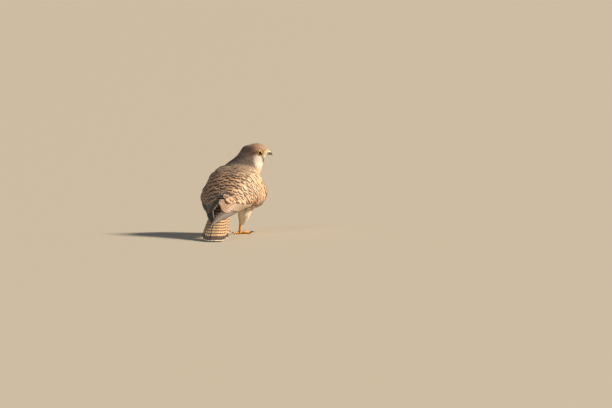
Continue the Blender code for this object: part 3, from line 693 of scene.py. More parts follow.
# ------------------------------------------------------------------ vanes
class Coat:
    """Collects vanes that share one mesh."""

    def __init__(self):
        self.v, self.f, self.uv, self.bake = [], [], [], []
        self.tint, self.dark, self.dim, self.bar, self.pat = [], [], [], [], []
        self.normals = []
        self.count = 0

    def add(self, grid, lower, root_uv, tint, dark, dim, bar, pat, patch=0.003, lie=None, soft=0.6):
        """grid, lower: (N, nv, nu, 3) upper and lower faces; the rest one row per vane."""
        n, nv, nu, _ = grid.shape
        inner = np.zeros((nv, nu), bool)
        inner[1:-1, 1:-1] = True
        top = np.arange(nv * nu).reshape(nv, nu)
        under = top.copy()
        under[inner] = nv * nu + np.arange(inner.sum())
        per = nv * nu + int(inner.sum())
        pts = np.concatenate([grid.reshape(n, -1, 3), lower[:, inner]], axis=1)
        quads = []
        i, j = nv // 2, nu // 2
        facing = np.cross(grid[0, i, j + 1] - grid[0, i, j - 1], grid[0, i + 1, j] - grid[0, i - 1, j]) @ (grid[0, i, j] - lower[0, i, j])
        for t, flip in ((top, facing < 0), (under, facing >= 0)):
            a, b, c, d = t[:-1, :-1].ravel(), t[:-1, 1:].ravel(), t[1:, 1:].ravel(), t[1:, :-1].ravel()
            quads.append(np.stack([a, d, c, b] if flip else [a, b, c, d], -1))
        quads = np.concatenate(quads)
        base = self.count + per * np.arange(n)
        self.f.append((quads[None] + base[:, None, None]).reshape(-1, 4))
        self.v.append(pts.reshape(-1, 3))
        u, v = np.meshgrid(np.linspace(0, 1, nu), np.linspace(0, 1, nv))
        uv = np.concatenate([np.stack([u.ravel(), v.ravel()], -1), np.stack([u[inner], v[inner]], -1)])
        self.uv.append(np.tile(uv, (n, 1)))
        self.bake.append((root_uv[:, None, :] + (uv[None] - 0.5) * patch).reshape(-1, 2))
        for store, value in ((self.tint, tint), (self.dark, dark), (self.dim, dim), (self.bar, bar), (self.pat, pat)):
            store.append(np.repeat(np.asarray(value, float), per, axis=0))
        if lie is not None:     # shading normals leaning to the body's own, so that the coat reads soft
            geo = unit(np.cross(np.gradient(grid, axis=2), np.gradient(grid, axis=1)))
            geo = geo * (1.0 if geo[0, i, j] @ (grid[0, i, j] - lower[0, i, j]) > 0 else -1.0)
            share = soft * smooth(0.0, 0.5, (geo * lie).sum(-1, keepdims=True))
            both = unit(geo * (1 - share) + lie * share).reshape(n, -1, 3)
            at = np.concatenate([np.arange(nv * nu), np.flatnonzero(inner.ravel())])
            sign = np.repeat([1.0, -1.0], len(quads) // 2)      # the upper face's quads come first
            self.normals.append((both[:, at[quads]] * sign[None, :, None, None]).reshape(-1, 3))
        self.count += per * n

    def build(self, name, material, bake=True):
        v, f = np.concatenate(self.v), np.concatenate(self.f)
        mesh = bpy.data.meshes.new(name)
        mesh.vertices.add(len(v))
        mesh.vertices.foreach_set("co", world(v).astype(np.float32).ravel())
        mesh.loops.add(len(f) * 4)
        mesh.loops.foreach_set("vertex_index", f.ravel().astype(np.int32))
        mesh.polygons.add(len(f))
        mesh.polygons.foreach_set("loop_start", np.arange(0, len(f) * 4, 4, dtype=np.int32))
        mesh.update(calc_edges=True)
        mesh.validate()
        mesh.polygons.foreach_set("use_smooth", [True] * len(mesh.polygons))
        maps = [("vane", np.concatenate(self.uv))]
        if bake:
            maps.append(("OFBake", np.concatenate(self.bake)))
        loops = np.empty(len(mesh.loops), np.int32)
        mesh.loops.foreach_get("vertex_index", loops)
        for key, uv in maps:
            layer = mesh.uv_layers.new(name=key)
            layer.data.foreach_set("uv", uv[loops].astype(np.float32).ravel())
        for key, value in (("tint", self.tint), ("dark", self.dark)):
            a = mesh.attributes.new(key, "FLOAT_COLOR", "POINT")
            c = np.concatenate(value)
            a.data.foreach_set("color", np.concatenate([c, np.ones((len(c), 1))], 1).astype(np.float32).ravel())
        for key, value in (("dim", self.dim), ("bar", self.bar), ("pat", self.pat)):
            a = mesh.attributes.new(key, "FLOAT_VECTOR", "POINT")
            a.data.foreach_set("vector", np.concatenate(value).astype(np.float32).ravel())
        if self.normals:
            corner = np.concatenate(self.normals).astype(np.float32)
            if len(corner) == len(mesh.loops):
                mesh.normals_split_custom_set(corner)
            else:
                print("normals left out on", name)
        obj = bpy.data.objects.new(name, mesh)
        obj.data.materials.append(material)
        bpy.context.scene.collection.objects.link(obj)
        return obj


def sample_skin(mesh, count):
    """Random points spread evenly over the skin: place, normal, and place on its unwrap."""
    mesh.calc_loop_triangles()
    co = bird(coords(mesh))
    tri = np.empty(len(mesh.loop_triangles) * 3, np.int32)
    mesh.loop_triangles.foreach_get("vertices", tri)
    loops = np.empty(len(mesh.loop_triangles) * 3, np.int32)
    mesh.loop_triangles.foreach_get("loops", loops)
    tri, loops = tri.reshape(-1, 3), loops.reshape(-1, 3)
    uv = np.empty(len(mesh.loops) * 2, np.float32)
    mesh.uv_layers["OFBake"].data.foreach_get("uv", uv)
    uv = uv.reshape(-1, 2)
    no = coords(mesh, "vertices", "normal")
    a, b, c = (co[tri[:, k]] for k in range(3))
    area = np.linalg.norm(np.cross(b - a, c - a), axis=1)
    mid = (a + b + c) / 3
    reach = np.linalg.norm(to_head(mid), axis=1)
    area = area * (1 + 6.5 * smooth(34, 27, reach) + 1.5 * smooth(50, 36, reach))
    pick = RNG.choice(len(tri), count, p=area / area.sum())
    r1, r2 = np.sqrt(RNG.rand(count)), RNG.rand(count)
    w = np.stack([1 - r1, r1 * (1 - r2), r1 * r2], -1)
    p = (co[tri[pick]] * w[..., None]).sum(1)
    n = unit((no[tri[pick]] * w[..., None]).sum(1))
    t = (uv[loops[pick]] * w[..., None]).sum(1)
    return p, n, t


def thin_out(p, spacing):
    """Keeps points no nearer to one another than the spacing at each."""
    cell, grid, keep = 2.2, {}, []
    for i, (q, s) in enumerate(zip(p, spacing)):
        k = (int(q[0] // cell), int(q[1] // cell), int(q[2] // cell))
        reach = int(math.ceil(s / cell))
        ok = True
        for dx in range(-reach, reach + 1):
            for dy in range(-reach, reach + 1):
                for dz in range(-reach, reach + 1):
                    for j in grid.get((k[0] + dx, k[1] + dy, k[2] + dz), ()):
                        d = p[j] - q
                        if d[0] * d[0] + d[1] * d[1] + d[2] * d[2] < s * s:
                            ok = False
                            break
                    if not ok:
                        break
                if not ok:
                    break
            if not ok:
                break
        if ok:
            grid.setdefault(k, []).append(i)
            keep.append(i)
    return np.array(keep)


def sizes(p, which):
    """Length, width and spacing of the feather rooted at each point."""
    h = to_head(p)
    r = np.linalg.norm(h * [1.0, 0.9, 0.95], axis=1)
    wing = which >= 5
    thigh = (which == 3) | (which == 4)
    back = smooth(92, 112, p[:, 2] - 0.10 * p[:, 1])
    L = np.where(back > 0.5, 17.0, 14.5)
    W = np.where(back > 0.5, 9.0, 7.4)
    L, W = np.where(wing, 9.5, L), np.where(wing, 6.0, W)
    L = np.where(thigh, 12.5 - 5.5 * smooth(45, 22, p[:, 2]), L)
    W = np.where(thigh, 4.6 - 2.0 * smooth(45, 22, p[:, 2]), W)
    neck = smooth(104, 138, p[:, 2] + 0.12 * (p[:, 1] - 50)) * (~wing)
    L, W = L * (1 - neck) + 8.6 * neck, W * (1 - neck) + 3.1 * neck
    head = smooth(36, 24, r) * (~wing)
    L, W = L * (1 - head) + 5.2 * head, W * (1 - head) + 1.75 * head
    face = smooth(7, 16, h[:, 1]) * (r < 32)
    L, W = L * (1 - face) + 2.9 * face, W * (1 - face) + 1.15 * face
    for side in ("left", "right"):
        _, er, _ = eye_frame(side, p)
        k = smooth(12, 6.4, er) * (np.linalg.norm(p - EYE_MID[side], axis=1) < 14)
        L, W = L * (1 - 0.55 * k), W * (1 - 0.35 * k)
    spacing = np.where(thigh, 0.31, 0.34) * W + 0.04 * L
    return L, W, spacing


WING_EDGE = {  # where the coverts end on the wing, as (y, v): flight feathers lie beyond
    "right": np.array([(-90, 1.10), (-71, 0.90), (-47, 0.56), (-30, 0.32), (0, 0.16), (22, 0.05), (30, -0.2)], float),
    "left": np.array([(-90, 1.10), (-68, 0.92), (-45, 0.55), (-28, 0.36), (0, 0.17), (22, 0.05), (30, -0.2)], float),
}


def wing_place(p, side):
    """(y, v) of points on a wing's outer face, and how far out from the body's midline they lie on that side."""
    y = p[:, 1]
    x = (p[:, 0] - bend(y)) * (1 if side == "right" else -1)
    zl, zu = (np.interp(y, WING_D[:, 0], WING_D[:, k]) for k in (2, 4))
    return y, (p[:, 2] - zl) / (zu - zl), x


def cover_grid(surface, roots, normals, ways, L, W, rise, nv, nu, tip=0.42, point=0.0, curl=0.0, fray=0.04, ledge=0.0):
    """Upper and lower faces of vanes that follow the surface from their roots."""
    n = len(roots)
    s = np.linspace(0, 1, nv) ** 0.9
    w = np.linspace(-1, 1, nu)
    body = 0.34 + 0.66 * np.sin(np.pi * np.minimum(s / (1 - tip), 1.0) / 2)
    k = np.clip((s - (1 - tip)) / tip, 0, 1)
    wd = np.where(s < 1 - tip, body, np.sqrt(np.maximum(0.0, 1 - k ** (2.0 - point))))
    wd = np.maximum(wd, 0.10)
    side = np.cross(normals, ways)
    ragged = 1 + 0.018 * RNG.randn(n, nv, nu) * (s[None, :, None] > 0.5)
    jag = 1 + fray * RNG.randn(n, 1, nu) * smooth(0.5, 1.0, s)[None, :, None]
    along = s[None, :, None] * L[:, None, None] * jag
    across = w[None, None, :] * wd[None, :, None] * W[:, None, None] * 0.5 * ragged
    bow = RNG.randn(n)[:, None, None] * 0.035 * along * s[None, :, None]
    flat = roots[:, None, None, :] + ways[:, None, None, :] * along[..., None] + side[:, None, None, :] * (across + bow)[..., None]
    flat = flat.reshape(-1, 3)
    for side_ in ("left", "right"):
        q = flat - EYE_MID[side_]
        h_ = q @ EYE_AXIS[side_]
        off = q - h_[:, None] * EYE_AXIS[side_]
        r_ = np.linalg.norm(off, axis=1)
        inside_ = (h_ > 0) & (r_ < 6.05) & (np.linalg.norm(q, axis=1) < 12)
        flat = flat + np.where(inside_[:, None], unit(off) * (6.05 - r_)[:, None], 0.0)
    near = np.empty_like(flat)
    nor = np.empty_like(flat)
    for i, q in enumerate(flat):
        a, b, _, _ = surface.find_nearest(q)
        near[i], nor[i] = a, b
    near, nor = near.reshape(n, nv, nu, 3), nor.reshape(n, nv, nu, 3)
    near_normal = nor
    nor = unit(0.55 * nor + 0.45 * nor[:, :, nu // 2:nu // 2 + 1])
    high = rise[:, None, None] * (0.10 + ledge * smooth(0.0, 0.25, s)[None, :, None] + (0.90 - ledge) * s[None, :, None] ** 0.85)
    high = high * (1 + 0.10 * RNG.randn(n)[:, None, None])
    camber = 0.16 * (w ** 2)[None, None, :] * wd[None, :, None] * W[:, None, None] * 0.5
    high = np.maximum(high - camber * 0.35, 0.05) + curl * (s[None, :, None] ** 4) * rise[:, None, None]
    grid = near + nor * high[..., None]
    lower = grid - nor * 0.07
    return grid, lower, near_normal


def place_on(mesh):
    """Looks up the place on the unwrap for points of the mesh, by its nearest corner."""
    loops = np.empty(len(mesh.loops), np.int32)
    mesh.loops.foreach_get("vertex_index", loops)
    uv = np.empty(len(mesh.loops) * 2, np.float32)
    mesh.uv_layers["OFBake"].data.foreach_get("uv", uv)
    at = np.zeros((len(mesh.vertices), 2))
    at[loops] = uv.reshape(-1, 2)
    co = bird(coords(mesh))
    tree = KDTree(len(co))
    for i, c in enumerate(co):
        tree.insert(c, i)
    tree.balance()
    return lambda pts: np.array([at[tree.find(q)[1]] for q in pts])


ROWS = 10


def cloak_rows(surface, mesh):
    """Mantle, scapulars and wing coverts: staggered rows from the neck and the bend of the wing back to the flight feathers."""
    found = []
    for k in range(ROWS + 1):
        t = ((k + 0.25) / ROWS) ** 0.92
        line = []
        for phi in np.radians(np.arange(-121, 121.5, 1.0)):
            a, end = float(coverts_start(phi)), float(coverts_end(phi))
            b = end + 0.85 * (2.35 * (a - end) / (ROWS + 2) + 3.0)
            y = a + (b - a) * t
            e = (a - b) / ROWS
            x0, z0 = float(bend(y)), float(axis_z(y))
            way = np.array([math.sin(phi), 0.0, math.cos(phi)])
            hit, nor, _, _ = surface.ray_cast(Vector(np.array([x0, y, z0]) + way * 150), Vector(-way), 150)
            if hit is None or nor.dot(Vector(way)) < 0.05:
                line.append(None)
            else:
                line.append((np.array(hit), np.array(nor), e))
        for sign in (-1, 1):        # outwards from the spine on each side
            phase = 0.0 if k % 2 else 0.5
            idx = range(121, 243) if sign > 0 else range(121, -1, -1)
            run, last = 0.0, None
            for i in idx:
                if line[i] is None:
                    last = None
                    continue
                pt, nor, e = line[i]
                step = min(max(1.32 * e, 4.6), 13.0)
                if last is not None:
                    before = run
                    run += min(np.linalg.norm(pt - last), 6.0) / step
                    if math.floor(run - phase) > math.floor(before - phase) and run - phase >= 0.5 * (phase == 0.0):
                        found.append((pt, nor, e, step))
                elif phase == 0.0 and sign > 0 and run == 0.0 and i == 121:
                    found.append((pt, nor, e, step))
                last = pt
    pts = np.array([f[0] for f in found])
    nor = np.array([f[1] for f in found])
    e = np.array([f[2] for f in found])
    step = np.array([f[3] for f in found])
    which = node_at(pts)
    ok = (pts[:, 2] < 139.5) & ~((which == 1) & (pts[:, 1] > 50)) & (which != 0)
    pts, nor, e, step = pts[ok], nor[ok], e[ok], step[ok]
    pts = pts + RNG.randn(*pts.shape) * 0.35
    which = node_at(pts)
    L = (2.35 * e + 3.0) * (1 + 0.04 * RNG.randn(len(pts)))
    W = (1.22 * step + 0.8) * (1 + 0.04 * RNG.randn(len(pts)))
    return pts, nor, place_on(mesh)(pts), which, L, W, e


def build_coat(skin):
    mesh = skin.data
    co = bird(coords(mesh))
    surface = BVHTree.FromPolygons([tuple(c) for c in co], [tuple(p.vertices) for p in mesh.polygons])
    # the cloak lies on what faces outwards, so that no vane folds in under the wing's edge
    mid, pn = bird(coords(mesh, "polygons", "center")), coords(mesh, "polygons", "normal")
    turn = phi_of(mid)
    outwards = pn[:, 0] * np.sin(turn) + pn[:, 2] * np.cos(turn) > 0.03
    verts, polys = [tuple(c) for c in co], [tuple(p.vertices) for p, k in zip(mesh.polygons, outwards) if k]
    yy, vv = np.meshgrid(np.linspace(-48, -150, 40), np.linspace(0.03, 1.0, 24), indexing="ij")
    sheet = np.concatenate([wing_at("left", yy, vv, -2.5)[0], wing_at("right", yy, vv[:, ::-1], -2.5)[0]], axis=1)
    base, m_ = len(verts), sheet.shape[1]
    verts += [tuple(c) for c in sheet.reshape(-1, 3)]
    up = np.cross(sheet[1, m_ // 2] - sheet[0, m_ // 2], sheet[0, m_ // 2] - sheet[0, m_ // 2 - 1])[2]
    for i in range(39):
        for j in range(m_ - 1):
            a, b, c, d = base + i * m_ + j, base + (i + 1) * m_ + j, base + (i + 1) * m_ + j + 1, base + i * m_ + j + 1
            polys.append((a, b, c, d) if up > 0 else (d, c, b, a))
    ground = BVHTree.FromPolygons(verts, polys)
    p, n, uv = sample_skin(mesh, 270000)
    which = node_at(p)
    L, W, spacing = sizes(p, which)
    side_of = np.sign(p[:, 0] - bend(p[:, 1]))
    lip = (which >= 5) & (p[:, 1] > 12) & ((n[:, 1] > 0.30) | (n[:, 0] * side_of < 0.05)) & (n[:, 2] > -0.75)
    L, W, spacing = np.where(lip, 4.6, L), np.where(lip, 3.6, W), np.where(lip, 1.45, spacing)
    keep = ~(lip & (n[:, 0] * side_of < -0.55))
    # bare places: eye, cere and bill root, below the legs; the cloak and the flight feathers are laid in rows further down
    phi = phi_of(p)
    for side in ("left", "right"):
        h, r, _ = eye_frame(side, p)
        keep &= ~((h > 0) & (r < APERTURE + 1.75))
    on_wing = which >= 5
    outer = (n[:, 0] * np.sin(phi) + n[:, 2] * np.cos(phi) > 0.1) & (n[:, 2] > -0.55)
    facing = n[:, 0] * np.sin(phi) + n[:, 2] * np.cos(phi) > 0.12
    cloaked = facing & ((which == 2) | on_wing | ((which == 1) & (p[:, 2] < 134) & (p[:, 1] < 50))) & (np.degrees(np.abs(phi)) < 122) & (p[:, 1] < coverts_start(phi) + 2)
    q, qn, quv, qwhich, qL, qW, qe = cloak_rows(surface, mesh)
    clear = ~((np.degrees(np.abs(phi_of(q))) < 32) & (q[:, 1] < -56))       # the tertials lie open here
    q, qn, quv, qwhich, qL, qW, qe = (c[clear] for c in (q, qn, quv, qwhich, qL, qW, qe))
    tree = KDTree(len(q))
    for i, c in enumerate(q + flow(q, qn) * (0.35 * qL)[:, None]):
        tree.insert(c, i)
    tree.balance()
    far = np.ones(len(p), bool)
    for i in np.flatnonzero(cloaked):
        far[i] = tree.find(p[i])[2] > (10.5 if p[i, 1] < 30 else 7.8)
    keep &= ~(cloaked & ~far & (p[:, 1] > coverts_end(phi) + 4))
    keep &= ~(on_wing & outer & (p[:, 1] <= coverts_end(phi) + 4))
    keep &= ~(on_wing & (p[:, 1] < -30))
    keep &= ~((which == 2) & (p[:, 1] < -30) & (np.degrees(np.abs(phi)) > 70) & (np.degrees(np.abs(phi)) < 118) & (np.abs(p[:, 0]) > 18))
    h = to_head(p)
    keep &= ~((h[:, 1] > BILL_ROOT - 0.3) & (np.abs(h[:, 2] + 1.5) < 6.0) & (np.abs(h[:, 0]) < 5.6))
    keep &= ~((p[:, 2] < 21.0))
    idx = np.flatnonzero(keep)
    p, n, uv, which, L, W, spacing, lip, side_of = (a[idx] for a in (p, n, uv, which, L, W, spacing, lip, side_of))
    idx = thin_out(p, spacing)
    p, n, uv, which, L, W, spacing, lip, side_of = (a[idx] for a in (p, n, uv, which, L, W, spacing, lip, side_of))
    ways = flow(p, n)
    over = np.stack([side_of, np.full(len(p), -0.35), np.full(len(p), -0.25)], -1)
    ways = np.where(lip[:, None], unit(over - (over * n).sum(1, keepdims=True) * n), ways)
    for side in ("left", "right"):
        e_h, e_r, _ = eye_frame(side, p)
        out = (p - EYE_MID[side]) - e_h[:, None] * EYE_AXIS[side]
        k = 1.5 * smooth(11.5, 6.4, e_r) * (e_h > 0) * (np.linalg.norm(p - EYE_MID[side], axis=1) < 14)
        ways = ways + unit(out) * k[:, None]
        ways = unit(ways - (ways * n).sum(1, keepdims=True) * n)
    ways = unit(ways + np.cross(n, ways) * (RNG.randn(len(p)) * 0.09)[:, None])
    L, W = L * (1 + 0.08 * RNG.randn(len(p))), W * (1 + 0.06 * RNG.randn(len(p)))
    whole = np.ones(len(p), bool)
    for side in ("left", "right"):      # none lies over the ring
        t_h, t_r, _ = eye_frame(side, p + ways * L[:, None])
        whole &= ~((t_h > 0) & (t_r < 5.4) & (np.linalg.norm(p - EYE_MID[side], axis=1) < 15))
    p, n, uv, which, ways, L, W = (c[whole] for c in (p, n, uv, which, ways, L, W))
    row_e = 0.44 * L
    qways = flow(q, qn)
    qways = unit(qways + np.cross(qn, qways) * (RNG.randn(len(q)) * 0.045)[:, None])
    p, n, uv, which = (np.concatenate(c) for c in ((p, q), (n, qn), (uv, quv), (which, qwhich)))
    ways, L, W, row_e = (np.concatenate(c) for c in ((ways, qways), (L, qL), (W, qW), (row_e, qe)))
    laid = np.arange(len(p)) >= len(p) - len(q)
    tint, dark, pat = paint(p + ways * (np.where(laid, 0.0, 0.72) * L)[:, None], which)
    pat[:, 0] = np.where(laid, pat[:, 0], pat[:, 0] * 0.6)
    tint = tint * (1 + (0.04 + 0.03 * laid[:, None]) * RNG.randn(len(p), 1)) * (1 + 0.012 * RNG.randn(len(p), 3))
    tint = np.clip(tint, 0, 1)
    depth = coat_depth(p)
    by_eye = np.ones(len(p))
    for side in ("left", "right"):
        e_h, e_r, _ = eye_frame(side, p)
        by_eye = np.where((e_h > 0) & (np.linalg.norm(p - EYE_MID[side], axis=1) < 15), 0.30 + 0.70 * smooth(6.2, 10.5, e_r), by_eye)
    # the bars are the bird's own; their extra depth away from its sunlit right side is painted shade
    bar_shade = smooth(34, 4, p[:, 0])
    bar = np.stack([row_e * (0.18 + 0.08 * RNG.rand(len(p))), row_e * (0.43 + 0.15 * bar_shade + 0.10 * RNG.rand(len(p))), np.maximum(4.0, row_e * 1.06)], -1)
    # painted shadow: on the right wing only, the last coverts get one broad dark band near their tips, for the shadow
    # their edge casts on the flight feathers
    covert_edge_shadow = laid & (p[:, 1] - coverts_end(phi_of(p)) < 0.85 * L + 0.35 * row_e) & (p[:, 0] > bend(p[:, 1]) + 4)
    bar[covert_edge_shadow] = np.stack([np.full(covert_edge_shadow.sum(), 0.5), np.full(covert_edge_shadow.sum(), 3.4), np.full(covert_edge_shadow.sum(), 60.0)], -1)
    pat[covert_edge_shadow] = (1.0, 0.0, 0.0)
    dim = np.stack([L, W, RNG.rand(len(p))], -1)
    r = np.linalg.norm(to_head(p), axis=1)
    group = np.where(np.degrees(np.abs(phi_of(p))) < 100, 2, np.where(p[:, 1] > 22, 3, 7))
    group = np.where((which == 3) | (which == 4), 6, group)
    group = np.where(which == 1, 1, group)
    group = np.where((r < 33) & (which < 2), np.where(to_head(p)[:, 1] > 1.0, 8, 0), group)
    group = np.where(laid, np.where(p[:, 0] > bend(p[:, 1]), 5, 4), group)
    names = ["coat_head", "coat_neck", "coat_back", "coat_under", "coat_cloak_left", "coat_cloak_right", "coat_thighs", "coat_rear", "coat_face"]
    mat = vane_material("feather")
    print("cloak", len(q))
    made = []
    for g, name in enumerate(names):
        sel = np.flatnonzero(group == g)
        if not len(sel):
            continue
        coat = Coat()
        nv, nu, soft, fray = ((6, 3, 0.94, 0.03), (7, 5, 0.90, 0.03), (9, 5, 0.70, 0.03), (9, 5, 0.88, 0.03), (13, 9, 0.55, 0.016), (13, 9, 0.55, 0.016), (8, 5, 0.92, 0.03), (9, 5, 0.88, 0.03), (6, 3, 0.95, 0.03))[g]
        rise = depth[sel] * by_eye[sel] * (0.58, 0.64, 0.75, 0.60, 0.92, 0.92, 0.50, 0.60, 0.55)[g]
        grid, lower, lie = cover_grid(ground if g in (4, 5) else surface, p[sel], n[sel], ways[sel], L[sel], W[sel], rise, nv, nu, tip=0.6 if g in (0, 1, 8) else 0.4, point=0.5 if g in (0, 1, 8) else 0.0, fray=fray, ledge=0.0 if g in (2, 4, 5) else 0.5)
        coat.add(grid, lower, uv[sel], tint[sel], dark[sel], dim[sel], bar[sel], pat[sel], lie=lie, soft=soft)
        obj = coat.build(name, mat)
        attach(obj, "root")
        made.append(obj)
        print("coat", name, len(sel), "vanes", sum(len(q.vertices) - 2 for q in obj.data.polygons), "triangles")
    return made, mat, surface


# ------------------------------------------------------------------ flight feathers
def blade(base, width_in, width_out, s, nu):
    """Half widths of a long feather at s along it, for each of nu columns: outer side first."""
    w = np.linspace(-1, 1, nu)
    return np.where(w[None, :] < 0, w[None, :] * width_out[:, None], w[None, :] * width_in[:, None])


def wing_feathers(side, coat):
    rows = []
    # primaries, outermost last: tip y, tip v, root y, root v
    tips = [-104, -111, -118, -125, -133, -141, -149, -156, -161.5, -157]
    for k, y1 in enumerate(tips):
        v1 = np.interp(k, [0, 4, 7, 9], [0.66, 0.56, 0.48, 0.34])
        v0 = np.interp(k, [0, 9], [0.34, 0.10])
        rows.append(dict(y0=4 - 3.2 * k, v0=v0, y1=y1, v1=v1, wi=9.5 - 0.25 * k, wo=4.6 - 0.22 * k, off=-2.0 - 0.09 * k, kind="primary"))
    for k in range(9):      # secondaries, innermost last
        f = k / 8
        rows.append(dict(y0=0 - 3.6 * k, v0=0.18 + 0.40 * f, y1=-70 - 26 * f ** 0.8, v1=0.24 + 0.44 * f, wi=9.0, wo=5.0, off=-1.85 + 0.09 * k, kind="secondary"))
    for k in range(4):      # tertials, the upper ones on top
        f = k / 3
        rows.append(dict(y0=-18 - 6 * k, v0=0.55 + 0.26 * f, y1=-106 + 5 * k, v1=0.70 + 0.27 * f, wi=9.0, wo=8.6, off=-0.95 + 0.10 * k, kind="tertial"))
    nv, nu = 34, 9
    for q, r in enumerate(rows):
        s = np.linspace(0, 1, nv)
        y = r["y0"] + (r["y1"] - r["y0"]) * s
        v = r["v0"] + (r["v1"] - r["v0"]) * s ** 1.15
        length = abs(r["y1"] - r["y0"]) * 1.06
        tipk = 14.0 / length if r["kind"] != "primary" else 26.0 / length
        k = np.clip((s - (1 - tipk)) / tipk, 0, 1)
        shape = np.minimum(1.0, 0.35 + 2.2 * s) * np.sqrt(np.maximum(0.0, 1 - k ** (2.4 if r["kind"] != "primary" else 1.7)))
        shape = np.maximum(shape, 0.05)
        chord = np.maximum(wing_chord(y), 6.0)
        room = np.minimum(1.0, wing_chord(y) / 26.0 + 0.15) if r["kind"] == "primary" else np.ones(nv)
        mm = blade(None, r["wi"] * shape * room, r["wo"] * shape * room, s, nu)
        low = -0.03 + 0.10 * smooth(-30, 10, y)
        high = 1.04 - 0.22 * smooth(-82, -68, y)
        vv = np.minimum(np.maximum(v[:, None] + mm / chord[:, None], low[:, None]), high[:, None])
        yy = y[:, None] + 0.5 * np.abs(mm) * 0.35
        w = np.linspace(-1, 1, nu)
        off = r["off"] - 0.16 * np.abs(w[None, :]) ** 1.5 + 0.12 * np.exp(-(mm / 0.7) ** 2)
        face, _ = wing_at(side, yy, vv)
        past = coverts_end(phi_of(face)) - yy
        off = off - 2.2 * (1 - smooth(0, 14, past))
        p, nrm = wing_at(side, yy, vv, off)
        grid = p[None]
        lower = grid - nrm[None] * 0.14
        if side == "left":
            grid, lower = grid[:, :, ::-1], lower[:, :, ::-1]
        kind = r["kind"]
        tint = C["primary"] if kind == "primary" else C["secondary"] if kind == "secondary" else blend(C["secondary"][None], C["mantle"], [0.45])[0]
        # lit and shaded copies of one colour: the left wing's feathers are blended to a dark blue-grey as painted
        # shade, the right wing's primaries paler as painted light
        if side == "left":
            tint = blend(tint[None], lin(44, 40, 42), [0.30 if kind == "primary" else 0.80])[0]
        elif kind == "primary":
            tint = blend(tint[None], lin(128, 112, 98), [0.62])[0]
        tint = tint * (1 + 0.05 * RNG.randn())
        pat = (0.18, 0.0, 0.42) if kind == "primary" else (0.14, 0.0, 1.0) if kind == "secondary" else (0.34, 0.45, 1.0)
        dark = C["dark"] * 0.7
        bar = (5.0, 4.0, 9.5)
        dim = (length, r["wi"] + r["wo"], RNG.rand())
        coat.add(grid, lower, np.array([[0.5, 0.5]]), tint[None], dark[None], np.array([dim]), np.array([bar]), np.array([pat]))


def tail_feathers(coat):
    """Six pairs: the middle pair lies on top, the outer ones under it."""
    nv, nu = 40, 11
    for pair in range(6):
        for s_ in (-1, 1):
            f = (pair + (0.18 if s_ > 0 else 0.5)) / 5.55
            reach = TAIL_LENGTH - TAIL_OUTER_SHORT * f ** 2.2 - 0.6
            s = np.linspace(0, 1, nv)
            along = -8 + (reach + 8) * s
            centre = s_ * f * (tail_half(along) - 6.0)
            wide = np.interp(along, [-8, 30, 110, reach], [3.5, 6.5, 9.0, 8.6])
            tipk = 9.0 / (reach + 8)
            k = np.clip((s - (1 - tipk)) / tipk, 0, 1)
            shape = np.maximum(np.sqrt(np.maximum(0.0, 1 - k ** 2.2)), 0.05) * wide
            outer, inner = shape * (0.62 if pair > 3 else 0.85), shape * 1.08
            w = np.linspace(-1, 1, nu)
            mm = np.where(w[None, :] < 0, w[None, :] * (outer if s_ < 0 else inner)[:, None], w[None, :] * (inner if s_ < 0 else outer)[:, None])
            cross = centre[:, None] + mm
            limit = (tail_half(along))[:, None]
            cross = np.clip(cross, -limit, limit)
            up = 0.95 - 0.30 * pair + (0.10 if s_ > 0 else 0.0) - 0.12 * np.abs(w[None, :]) + 0.12 * np.exp(-(mm / 0.7) ** 2)
            up = up - 0.25 * s[:, None]
            p = tail_at(along[:, None] * np.ones((1, nu)), cross, up * np.ones((nv, 1)))
            grid = p[None]
            lower = grid - T_NORMAL * 0.16
            tint = C["tail"] * (1 + 0.03 * RNG.randn())
            coat.add(grid, lower, np.array([[0.5, 0.5]]), tint[None], (C["dark"] * 0.9)[None], np.array([(reach + 8, 16.0, RNG.rand())]),
                     np.array([(4.2, 4.0, 9.0)]), np.array([(0.9, 0.0, 0.5)]))


